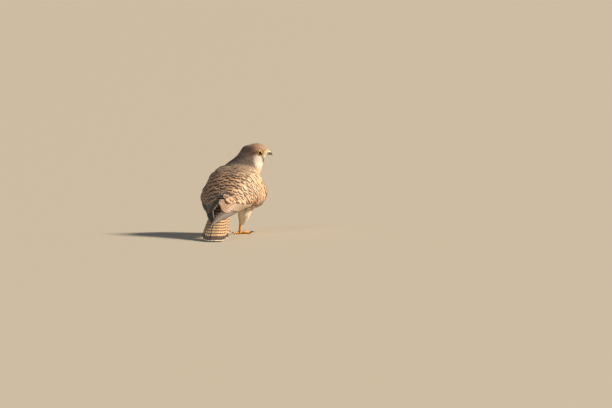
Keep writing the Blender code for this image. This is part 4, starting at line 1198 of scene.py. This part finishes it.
def tail_material():
    """Rufous buff vanes with narrow dark bars, a broad dark band near the end and a pale tip."""
    t = Tree("rectrix")
    uv = t.node("ShaderNodeUVMap", uv_map="vane")
    u, v, _ = t.xyz(uv.outputs[0])
    dim = t.xyz(t.attr("dim").outputs["Vector"])
    tint, dark = t.attr("tint").outputs["Color"], t.attr("dark").outputs["Color"]
    across = t.m("MULTIPLY", t.m("SUBTRACT", t.m("MULTIPLY", u, 2.0), 1.0), t.m("MULTIPLY", dim[1], 0.5))
    side = t.m("ABSOLUTE", across)
    back = t.m("MULTIPLY", t.m("SUBTRACT", 1.0, v), dim[0])
    where = t.node("ShaderNodeCombineXYZ")
    t.put(where.inputs[0], across)
    t.put(where.inputs[1], back)
    t.put(where.inputs[2], t.m("MULTIPLY", dim[2], 97.0))
    rag = t.m("SUBTRACT", t.noise(where.outputs[0], 0.3, 3.0, 0.6), 0.5)
    b = t.m("ADD", t.m("SUBTRACT", back, t.m("MULTIPLY", side, 0.22)), t.m("MULTIPLY", rag, 3.0))
    band = t.m("MULTIPLY", t.step(4.8, 6.2, b), t.m("SUBTRACT", 1.0, t.step(22.5, 24.5, b)))
    fr = t.m("MULTIPLY", t.m("FRACT", t.m("DIVIDE", t.m("SUBTRACT", b, 32.0), 12.2)), 12.2)
    bars = t.m("MULTIPLY", t.m("MULTIPLY", t.step(0.0, 0.6, fr), t.m("SUBTRACT", 1.0, t.step(3.8, 4.8, fr))), t.step(31.0, 32.0, b))
    col = t.mix(t.m("MULTIPLY", t.m("MAXIMUM", band, bars), 0.93), tint, dark)
    tip = t.m("SUBTRACT", 1.0, t.step(4.4, 5.8, b))
    col = t.mix(tip, col, lin(238, 220, 192))
    shaft = t.m("SUBTRACT", 1.0, t.step(0.25, 0.55, side))
    col = t.mix(t.m("MULTIPLY", shaft, 0.6), col, lin(110, 78, 56))
    barb = t.m("SINE", t.m("MULTIPLY", t.m("ADD", t.m("MULTIPLY", side, 0.9), back), 8.0))
    fine = t.noise(where.outputs[0], 1.6, 2.0, 0.6)
    hue = t.node("ShaderNodeHueSaturation")
    t.put(hue.inputs["Value"], t.m("ADD", t.m("ADD", 0.88, t.m("MULTIPLY", barb, 0.04)), t.m("MULTIPLY", fine, 0.22)))
    t.put(hue.inputs["Color"], col)
    t.bump(t.m("ADD", t.m("MULTIPLY", barb, 0.5), t.m("MULTIPLY", shaft, 2.0)), 0.3, 0.00015)
    return t.finish(hue.outputs[0], 0.55, spec=0.4, sheen=0.1)


# ------------------------------------------------------------------ bill, cere, eyes
UPPER = np.array([
    (19.6, -1.2, 5.6, 4.6), (21.4, -1.3, 5.2, 4.5), (23.4, -1.6, 4.6, 4.1), (25.6, -2.4, 3.9, 3.5), (27.8, -3.7, 3.1, 2.8),
    (29.6, -5.4, 2.2, 2.1), (30.6, -7.1, 1.4, 1.4), (31.1, -8.5, 0.75, 0.75), (31.3, -9.4, 0.30, 0.30)], float)
LOWER = np.array([
    (19.6, -6.4, 4.8, 1.9), (22.0, -6.6, 4.2, 1.7), (24.4, -6.9, 3.3, 1.4), (26.4, -7.2, 2.3, 1.1), (28.0, -7.4, 1.2, 0.7)], float)
LOWER[:, 1] += np.array([0.2, 0.5, 0.8, 0.9, 0.8])


def tube(rings, closed_ends=True):
    """Verts and faces over rings (m, n, 3)."""
    m_, n_ = rings.shape[:2]
    verts = list(rings.reshape(-1, 3))
    faces = []
    for i in range(m_ - 1):
        for j in range(n_):
            a, b = i * n_ + j, i * n_ + (j + 1) % n_
            faces.append((a, b, b + n_, a + n_))
    if closed_ends:
        for i, flip in ((0, True), (m_ - 1, False)):
            c = len(verts)
            verts.append(rings[i].mean(0))
            for j in range(n_):
                a, b = i * n_ + j, i * n_ + (j + 1) % n_
                faces.append((b, a, c) if flip else (a, b, c))
    return verts, faces


def bill_rings(table, lo, hi, steps, swell=0.0, lower=False):
    rows = dense(table, 16)
    ys = np.linspace(lo, hi, steps)
    # by place along the curve, so that the hook keeps its length
    t = np.linspace(0, 1, len(rows))
    y_of = rows[:, 0]
    start = np.interp(lo, y_of, t)
    end = np.interp(hi, y_of, t) if hi < y_of[-1] else 1.0
    ts = np.linspace(start, end, steps)
    rings = []
    for q, tt in enumerate(ts):
        y, z, a, b = (np.interp(tt, t, rows[:, k]) for k in range(4))
        e = 0.01
        y2, z2 = (np.interp(min(tt + e, 1), t, rows[:, k]) for k in (0, 1))
        y1, z1 = (np.interp(max(tt - e, 0), t, rows[:, k]) for k in (0, 1))
        slope = 0.0 if lower else math.atan2(z2 - z1, y2 - y1)
        up = TOP * math.cos(slope) - FORE * math.sin(slope)
        k = np.linspace(0, 2 * np.pi, 40, endpoint=False)
        c, s = np.cos(k), np.sin(k)
        x = np.sign(c) * np.abs(c) ** 0.9 * a
        if lower:
            zz = np.where(s > 0, s * b * 0.85, s * b)
            x = x * np.where(s > 0, 1 - 0.22 * s, 1.0)
        else:
            x = x * (1 - 0.16 * np.maximum(s, 0) ** 2)
            tooth = 0.55 * math.exp(-((y - 27.6) / 0.75) ** 2)
            zz = np.where(s > 0, s * b, s * (b * 1.02 + tooth))
            zz = zz + (s < -0.3) * 0.35 * b * (1 - np.abs(c) ** 1.5) * smooth(25.5, 28.0, y)   # hollow under side
        x, zz = x * (1 + swell), zz * (1 + swell)
        rings.append(in_head(0, y, z) + x[:, None] * SIDE + zz[:, None] * up)
    return np.array(rings)


NOSTRIL = [in_head(k * 3.9, 22.2, 0.9) for k in (-1, 1)]


def make_bill():
    horn = Tree("bill_horn")
    co = horn.node("ShaderNodeTexCoord").outputs["Object"]
    tip = Vector(world(in_head(0, 31.2, -8.6)))
    d = horn.node("ShaderNodeVectorMath", operation="DISTANCE")
    horn.put(d.inputs[0], co)
    d.inputs[1].default_value = tip
    grain = horn.noise(co, 900.0, 3.0)
    f = horn.step(0.0030, 0.0095, horn.m("ADD", d.outputs["Value"], horn.m("MULTIPLY", grain, 0.0012)))
    col = horn.mix(f, lin(40, 42, 48), lin(120, 132, 148))
    base = horn.step(0.0085, 0.0115, d.outputs["Value"])
    col = horn.mix(horn.m("MULTIPLY", base, 0.35), col, lin(176, 180, 172))
    horn.bump(grain, 0.25, 0.0001)
    horn_mat = horn.finish(col, 0.26, spec=0.5, coat=0.35, coat_rough=0.12)

    verts, faces = tube(bill_rings(UPPER, CERE_END - 1.4, 31.3, 46))
    upper = new_object("bill_upper_horn", world(verts), faces)
    verts, faces = tube(bill_rings(LOWER, BILL_ROOT - 0.6, 28.0, 24, lower=True))
    lower = new_object("bill_lower_horn", world(verts), faces)
    for o, node in ((upper, "bill_upper"), (lower, "bill_lower")):
        o.data.materials.append(horn_mat)
        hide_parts(node)

    cere_t = Tree("cere_skin")
    co = cere_t.node("ShaderNodeTexCoord").outputs["Object"]
    col = cere_t.mix(cere_t.noise(co, 700.0, 4.0), lin(232, 176, 40), lin(246, 208, 90))
    # the nostril openings painted near-black: painted shade for the depth of the hole
    for q in NOSTRIL:
        d = cere_t.node("ShaderNodeVectorMath", operation="DISTANCE")
        cere_t.put(d.inputs[0], co)
        d.inputs[1].default_value = Vector(world(q))
        col = cere_t.mix(cere_t.m("SUBTRACT", 1.0, cere_t.step(0.0007, 0.0011, d.outputs["Value"])), col, lin(40, 26, 14))
    cere_t.bump(cere_t.noise(co, 1800.0, 3.0), 0.4, 0.00012)
    cere_mat = cere_t.finish(col, 0.42, spec=0.45, coat=0.15, coat_rough=0.3)
    rings = bill_rings(UPPER, BILL_ROOT - 0.9, CERE_END + 0.2, 20, swell=0.06)
    s = np.linspace(0, 1, len(rings))
    mid = rings.mean(1, keepdims=True)
    puff = (1 + 0.06 * np.sin(np.pi * np.minimum(s * 1.15, 1.0)) - 0.10 * smooth(0.82, 1.0, s))[:, None, None]
    rings = mid + (rings - mid) * puff
    for q in NOSTRIL:      # round pit with a small peg in its middle
        dd = np.linalg.norm(rings - q, axis=-1)
        away = unit(rings - mid)
        rings = rings - away * (0.55 * np.exp(-(dd / 0.75) ** 4) - 0.45 * np.exp(-(dd / 0.28) ** 2))[..., None]
    verts, faces = tube(rings)
    cere = new_object("cere_bare", world(verts), faces)
    cere.data.materials.append(cere_mat)
    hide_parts("cere")
    # the gape's soft yellow corner, both sides
    made = [upper, lower, cere]
    for k in (-1, 1):
        pts = [in_head(k * 4.0, 21.4, -5.3), in_head(k * 4.5, 20.4, -5.4), in_head(k * 4.9, 19.2, -5.6), in_head(k * 5.0, 17.6, -5.9)]
        radius = [0.5, 0.55, 0.5, 0.2]
        rings = []
        for i in np.linspace(0, 3, 16):
            c = np.array([np.interp(i, range(4), [q[a] for q in pts]) for a in range(3)])
            r = np.interp(i, range(4), radius)
            along = unit(pts[-1] - pts[0])
            out = unit(np.cross(along, TOP)) * -k
            a = np.linspace(0, 2 * np.pi, 14, endpoint=False)
            rings.append(c + r * (np.cos(a)[:, None] * out * 0.8 + np.sin(a)[:, None] * TOP * 0.8))
        verts, faces = tube(np.array(rings))
        gape = new_object("gape_%s" % ("left" if k < 0 else "right"), world(verts), faces)
        gape.data.materials.append(cere_mat)
        made.append(gape)
    for o in made:
        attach(o, "root")
    return made


def make_eyes():
    t = Tree("eyeball")
    at = t.node("ShaderNodeUVMap", uv_map="disc")
    u, v, _ = t.xyz(at.outputs[0])
    r = t.m("SQRT", t.m("ADD", t.m("MULTIPLY", u, u), t.m("MULTIPLY", v, v)))      # mm from the axis
    ang = t.m("ARCTAN2", u, v)
    w = t.node("ShaderNodeCombineXYZ")
    t.put(w.inputs[0], t.m("MULTIPLY", ang, 6.0))
    t.put(w.inputs[1], t.m("MULTIPLY", r, 0.5))
    rays = t.noise(w.outputs[0], 3.0, 4.0, 0.7)
    iris = t.mix(rays, lin(20, 11, 7), lin(56, 32, 18))
    iris = t.mix(t.step(3.6, 4.4, r), iris, lin(12, 8, 6))
    col = t.mix(t.step(2.25, 2.5, r), lin(2, 2, 2), iris)
    mat = t.finish(col, 0.10, spec=0.4, coat=0.6, coat_rough=0.02)
    made = []
    for side in ("left", "right"):
        a = EYE_AXIS[side]
        e1 = unit(np.cross(a, [0, 0, 1.0]))
        e2 = np.cross(e1, a)
        rings, disc = [], []
        for th in np.radians(np.concatenate([np.linspace(0.5, 60, 40), np.linspace(64, 130, 14)])):
            k = np.linspace(0, 2 * np.pi, 56, endpoint=False)
            bulge = 0.28 * math.exp(-(th / 0.42) ** 4)          # the cornea stands a little proud
            rr = EYE_R - 0.05 + bulge * 0.5
            ring = EYE_MID[side] + rr * (math.cos(th) * a + math.sin(th) * (np.cos(k)[:, None] * e1 + np.sin(k)[:, None] * e2))
            rings.append(ring)
            disc.append(np.stack([rr * math.sin(th) * np.cos(k), rr * math.sin(th) * np.sin(k)], -1))
        rings = np.array(rings)
        verts, faces = tube(rings)
        obj = new_object("eyeball_" + side, world(verts), faces)
        disc = np.concatenate([np.array(disc).reshape(-1, 2), [[0, 0], [9, 9]]])
        layer = obj.data.uv_layers.new(name="disc")
        loops = np.empty(len(obj.data.loops), np.int32)
        obj.data.loops.foreach_get("vertex_index", loops)
        layer.data.foreach_set("uv", disc[loops].astype(np.float32).ravel())
        bm = bmesh.new()
        bm.from_mesh(obj.data)
        bmesh.ops.recalc_face_normals(bm, faces=bm.faces)
        bm.to_mesh(obj.data)
        bm.free()
        obj.data.materials.append(mat)
        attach(obj, "root")
        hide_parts("eye_" + side)
        made.append(obj)
    return made


# ------------------------------------------------------------------ feet
def toe_axes(side, toe):
    sign = 1 if side == "right" else -1
    heading = math.radians(sign * (TOE_TURN[side] + TOE_SPREAD[toe]))
    ahead = np.array([math.sin(heading), math.cos(heading), 0.0])
    return ahead, np.array([ahead[1], -ahead[0], 0.0])


def foot_joint(side):
    return np.array([FOOT_X if side == "right" else -FOOT_X, FOOT_Y, 3.4])


def foot_material():
    t = Tree("leg_skin")
    co = t.node("ShaderNodeTexCoord").outputs["Object"]
    scute = t.attr("scute")
    s = t.xyz(scute.outputs["Vector"])             # mm along, share of the front, how far underneath
    saw = t.m("FRACT", t.m("DIVIDE", s[0], 1.55))
    groove = t.m("MULTIPLY", t.m("MULTIPLY", t.step(0.0, 0.16, saw), t.m("SUBTRACT", 1.0, t.step(0.86, 1.0, saw))), 1.0)
    vor = t.node("ShaderNodeTexVoronoi", feature="DISTANCE_TO_EDGE")
    t.put(vor.inputs["Vector"], co)
    vor.inputs["Scale"].default_value = 900.0
    small = t.step(0.0, 0.22, vor.outputs["Distance"])
    front = s[1]
    plate = t.m("ADD", t.m("MULTIPLY", groove, front), t.m("MULTIPLY", small, t.m("SUBTRACT", 1.0, front)))
    tone = t.noise(co, 260.0, 3.0)
    col = t.mix(tone, lin(236, 150, 34), lin(246, 186, 66))
    col = t.mix(t.m("MULTIPLY", t.m("SUBTRACT", 1.0, plate), 0.55), col, lin(176, 96, 26))
    col = t.mix(t.m("MULTIPLY", s[2], 0.5), col, lin(214, 150, 70))
    t.bump(plate, 0.7, 0.0003)
    return t.finish(col, 0.42, spec=0.45, coat=0.1, coat_rough=0.3)


def make_feet():
    mat = foot_material()
    claw = Tree("claw_horn")
    co = claw.node("ShaderNodeTexCoord").outputs["Object"]
    g = claw.noise(co, 800.0, 3.0)
    claw_mat = claw.finish(claw.mix(g, lin(18, 16, 17), lin(44, 38, 36)), 0.22, spec=0.5, coat=0.5, coat_rough=0.08)
    for side in ("left", "right"):
        bm = bmesh.new()
        joint = foot_joint(side)
        lines = []          # (points, radii) of every limb, to find the place along it afterwards
        ankle = np.array([22.5 if side == "right" else -22.5, 1.5, 40.0])
        f = np.linspace(0, 1, 60)
        pts = ankle + (joint - ankle) * f[:, None]
        rad = 2.5 * (1.06 - 0.22 * np.sin(np.pi * f) ** 1.5 + 0.14 * f)
        lines.append((pts, rad * 0.92, rad * 1.12, unit(joint - ankle)))
        for toe, (length, _) in TOES.items():
            ahead, across = toe_axes(side, toe)
            pads = {1: 1, 2: 2, 3: 3, 4: 3}[toe]
            f = np.linspace(0, 1, 48)
            swell = 0.5 - 0.5 * np.cos(2 * np.pi * pads * f)
            r = 2.15 - 0.45 * f + 0.28 * swell
            z = 2.0 + 1.1 * np.sin(np.pi * f) * (1 - f) - 0.2 * f
            pts = joint + ahead * (length * f)[:, None]
            pts[:, 2] = z
            lines.append((pts, r * 1.02, r, ahead))
        for i, (pts, ra, rb, ahead) in enumerate(lines):
            across = unit(np.cross(ahead, [0, 0, 1.0])) if i else unit(np.cross([0, 1.0, 0.4], ahead))
            up = unit(np.cross(across, ahead))
            up = up if (up[2] > 0 or not i) else -up
            k = np.linspace(0, 2 * np.pi, 20, endpoint=False)
            rings = []
            for p, a, b in zip(pts, ra, rb):
                rings.append(p + a * np.cos(k)[:, None] * across + b * np.sin(k)[:, None] * up)
            rings.append(pts[-1] + ahead * 1.0 + 0.7 * (rings[-1] - pts[-1]))
            verts, faces = tube(np.array(rings))
            made = [bm.verts.new(world(v)) for v in verts]
            for face in faces:
                bm.faces.new([made[q] for q in face])
        for z, r in ((0.9, 2.9), (2.4, 3.8), (4.0, 3.2)):      # the ball of the foot
            m4 = Matrix.Translation(Vector(world(joint + [0, 0, z - 3.4])))
            bmesh.ops.create_uvsphere(bm, u_segments=20, v_segments=12, radius=r * 0.001, matrix=m4)
        bmesh.ops.recalc_face_normals(bm, faces=bm.faces)
        mesh = bpy.data.meshes.new("foot")
        bm.to_mesh(mesh)
        bm.free()
        foot = bpy.data.objects.new("foot_skin_" + side, mesh)
        bpy.context.scene.collection.objects.link(foot)
        mod = foot.modifiers.new("remesh", "REMESH")
        mod.mode, mod.voxel_size, mod.use_smooth_shade = "VOXEL", 0.00032, True
        mod = foot.modifiers.new("smooth", "SMOOTH")
        mod.factor, mod.iterations = 0.5, 4
        settle(foot)
        c = bird(coords(foot.data))
        c[:, 2] = np.maximum(c[:, 2], 0.0)
        # scutes: millimetres along the nearest limb, and how much a point faces forward or up
        best = np.full(len(c), 1e9)
        along, front, below = np.zeros(len(c)), np.zeros(len(c)), np.zeros(len(c))
        for i, (pts, ra, rb, ahead) in enumerate(lines):
            a, b = pts[0], pts[-1]
            d = b - a
            t = np.clip(((c - a) @ d) / (d @ d), 0, 1)
            line = np.stack([np.interp(t, np.linspace(0, 1, len(pts)), pts[:, q]) for q in range(3)], -1)
            gap = np.linalg.norm(c - line, axis=1)
            near = gap < best
            best = np.where(near, gap, best)
            along = np.where(near, t * np.linalg.norm(d) + 13 * i, along)
            away = unit(c - line)
            fr = smooth(0.15, 0.5, away[:, 1]) if i == 0 else smooth(0.25, 0.6, away[:, 2])
            front = np.where(near, fr, front)
            below = np.where(near, smooth(0.2, 0.7, -away[:, 2]) if i else 0.0, below)
        saw = (along / 1.55) % 1.0
        ridge = smooth(0.0, 0.2, saw) * (1 - smooth(0.8, 1.0, saw)) * front
        no = coords(foot.data, "vertices", "normal")
        c = c + no * (0.14 * ridge)[:, None]
        c[:, 2] = np.maximum(c[:, 2], 0.0)
        set_coords(foot.data, world(c))
        a = foot.data.attributes.new("scute", "FLOAT_VECTOR", "POINT")
        a.data.foreach_set("vector", np.stack([along, front, below], -1).astype(np.float32).ravel())
        foot.data.polygons.foreach_set("use_smooth", [True] * len(foot.data.polygons))
        foot.data.materials.append(mat)
        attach(foot, "root")
        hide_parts("foot_" + side)
        for toe, (length, reach) in TOES.items():
            ahead, across = toe_axes(side, toe)
            end = joint + ahead * length
            end[2] = 1.8
            turn, top = math.radians(96), math.radians(44)
            radius = reach / turn
            rings = []
            for f in np.linspace(0, 1, 26):
                a = top - turn * f
                c0 = end - ahead * 1.2 + ahead * (radius * (math.sin(top) - math.sin(a))) + np.array([0, 0, 0.1 + radius * (math.cos(a) - math.cos(top))])
                direction = unit(ahead * math.cos(a) + np.array([0, 0, math.sin(a)]))
                r = 1.28 * (1 - f) ** 0.75 + 0.10
                up = unit(np.cross(across, direction))
                k = np.linspace(0, 2 * np.pi, 20, endpoint=False)
                prof = 1 - 0.18 * np.maximum(-np.sin(k), 0)
                rings.append(c0 + r * 0.78 * np.cos(k)[:, None] * across + r * 1.12 * (np.sin(k) * prof)[:, None] * up)
            rings = np.array(rings)
            rings[..., 2] += max(0.0, 0.05 - rings[..., 2].min())
            verts, faces = tube(rings)
            obj = new_object("talon_%s_%d" % (side, toe), world(verts), faces)
            bm = bmesh.new()
            bm.from_mesh(obj.data)
            bmesh.ops.recalc_face_normals(bm, faces=bm.faces)
            bm.to_mesh(obj.data)
            bm.free()
            obj.data.materials.append(claw_mat)
            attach(obj, "root")
            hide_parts("claw_%s_%d" % (side, toe))


# ------------------------------------------------------------------ skin look
def skin_material():
    t = Tree("skin")
    tint = t.attr("tint").outputs["Color"]
    co = t.node("ShaderNodeTexCoord").outputs["Object"]
    n = t.noise(co, 420.0, 4.0, 0.65)
    col = t.mix(t.m("MULTIPLY", n, 0.30), tint, lin(130, 104, 84))
    bare = t.attr("bare").outputs["Fac"]
    ring = t.mix(t.noise(co, 1500.0, 3.0), lin(222, 166, 30), lin(246, 206, 74))
    col = t.mix(bare, col, ring)
    rim = t.attr("rim").outputs["Fac"]
    col = t.mix(rim, col, lin(30, 22, 18))
    t.bump(t.noise(co, 1400.0, 3.0), 0.3, 0.0002)
    return t.finish(col, 0.6, spec=0.35)


def dress_skin(skin):
    co = bird(coords(skin.data))
    which = node_at(co)
    tint, dark, pat = paint(co, which)
    tint = tint * (1 - 0.30 * pat[:, :1]) + dark * 0.30 * pat[:, :1]
    no = coords(skin.data, "vertices", "normal")
    under = smooth(0.0, -0.45, no[:, 0] * np.sign(co[:, 0] - bend(co[:, 1]))) * (which >= 5)     # the wings are pale beneath
    tint = blend(tint, lin(226, 208, 182), under)
    bare, rim = np.zeros(len(co)), np.zeros(len(co))
    for side in ("left", "right"):
        h, r, _ = eye_frame(side, co)
        on = (h > 0)
        near = (on * smooth(9.0, 7.4, r) * (np.linalg.norm(co - EYE_MID[side], axis=1) < 12))[:, None] * 0.75
        tint = tint * (1 - near) + lin(206, 182, 150) * near
        bare = np.maximum(bare, on * smooth(6.9, 6.5, r) * (np.linalg.norm(co - EYE_MID[side], axis=1) < 11))
        rim = np.maximum(rim, on * smooth(4.55, 4.3, r))
    a = skin.data.attributes.new("tint", "FLOAT_COLOR", "POINT")
    a.data.foreach_set("color", np.concatenate([np.clip(tint, 0, 1), np.ones((len(co), 1))], 1).astype(np.float32).ravel())
    for key, value in (("bare", bare), ("rim", rim)):
        a = skin.data.attributes.new(key, "FLOAT", "POINT")
        a.data.foreach_set("value", value.astype(np.float32))
    skin.data.materials.clear()
    skin.data.materials.append(skin_material())


def unwrap(obj):
    for o in bpy.context.view_layer.objects:
        o.select_set(False)
    obj.select_set(True)
    bpy.context.view_layer.objects.active = obj
    if "OFBake" not in obj.data.uv_layers:
        obj.data.uv_layers.new(name="OFBake")
    bpy.ops.object.mode_set(mode="EDIT")
    bpy.ops.mesh.select_all(action="SELECT")
    bpy.ops.uv.smart_project(angle_limit=math.radians(70), island_margin=0.002)
    bpy.ops.object.mode_set(mode="OBJECT")


# ------------------------------------------------------------------ assembly
skin = make_skin()
unwrap(skin)
dress_skin(skin)
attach(skin, "root")
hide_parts(*FLESH)
coats, feather_mat, surface = build_coat(skin)

for side in ("left", "right"):
    coat = Coat()
    wing_feathers(side, coat)
    obj = coat.build("flight_" + side, feather_mat, bake=False)
    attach(obj, "root")
coat = Coat()
tail_feathers(coat)
obj = coat.build("rectrices", tail_material(), bake=False)
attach(obj, "root")
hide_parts("tail")
make_bill()
make_eyes()
make_feet()
# ------------------------------------------------------------------ floor, light and camera
floor_mesh = bpy.data.meshes.new("floor")
ROUND = [(60 * math.cos(a), 60 * math.sin(a), 0) for a in np.linspace(0, 2 * math.pi, 96, endpoint=False)]
floor_mesh.from_pydata(ROUND, [], [tuple(range(96))])
floor = bpy.data.objects.new("floor", floor_mesh)
bpy.context.scene.collection.objects.link(floor)
ft = Tree("floor")
floor.data.materials.append(ft.finish(lin(182, 173, 158), 0.85, spec=0.2))

w = bpy.data.worlds.new("world")
bpy.context.scene.world = w
w.use_nodes = True
w.node_tree.nodes["Background"].inputs[0].default_value = (*lin(206, 214, 226), 1)
w.node_tree.nodes["Background"].inputs[1].default_value = 0.25


def lamp(name, kind, energy, colour, at, aim, size=0.3):
    data = bpy.data.lights.new(name, kind)
    data.energy, data.color = energy, colour
    if kind == "AREA":
        data.shape, data.size = "DISK", size
    if kind == "SUN":
        data.angle = math.radians(10)
    obj = bpy.data.objects.new(name, data)
    bpy.context.scene.collection.objects.link(obj)
    obj.location = at
    obj.rotation_mode = "QUATERNION"
    obj.rotation_quaternion = (Vector(aim) - Vector(at)).to_track_quat("-Z", "Y")
    return obj


lamp("key", "SUN", 6.4, (1.0, 0.87, 0.70), (1.56, 0.78, 1.25), (0, 0, 0.08))
lamp("fill", "SUN", 0.35, (0.80, 0.90, 1.0), (-0.6, -1.6, 1.3), (0, 0, 0.08))

cam_data = bpy.data.cameras.new("camera")
cam = bpy.data.objects.new("camera", cam_data)
bpy.context.scene.collection.objects.link(cam)
bpy.context.scene.camera = cam
AZ, EL = math.radians(15.0), math.radians(4.0)
back = Vector((math.sin(AZ) * math.cos(EL), -math.cos(AZ) * math.cos(EL), math.sin(EL)))
right = Vector((math.cos(AZ), math.sin(AZ), 0))
up = right.cross(-back)
# the picture is 1.224 m wide at the bird; the bird's own origin lies at (229.5, 234.2) of 612 by 408 pixels
origin = Vector(world(np.zeros(3)))
aim = origin + right * ((306 - 229.5) * 0.002) + up * ((234.2 - 204) * 0.002)
DIST = 9.0
cam_data.lens = 36.0 * DIST / 1.224
cam.location = aim + back * DIST
cam.rotation_mode = "QUATERNION"
cam.rotation_quaternion = (-back).to_track_quat("-Z", "Y")
cam_data.clip_start, cam_data.clip_end = 0.05, 150.0
cam_data.dof.use_dof = False

scene = bpy.context.scene
scene.view_settings.view_transform = "Standard"
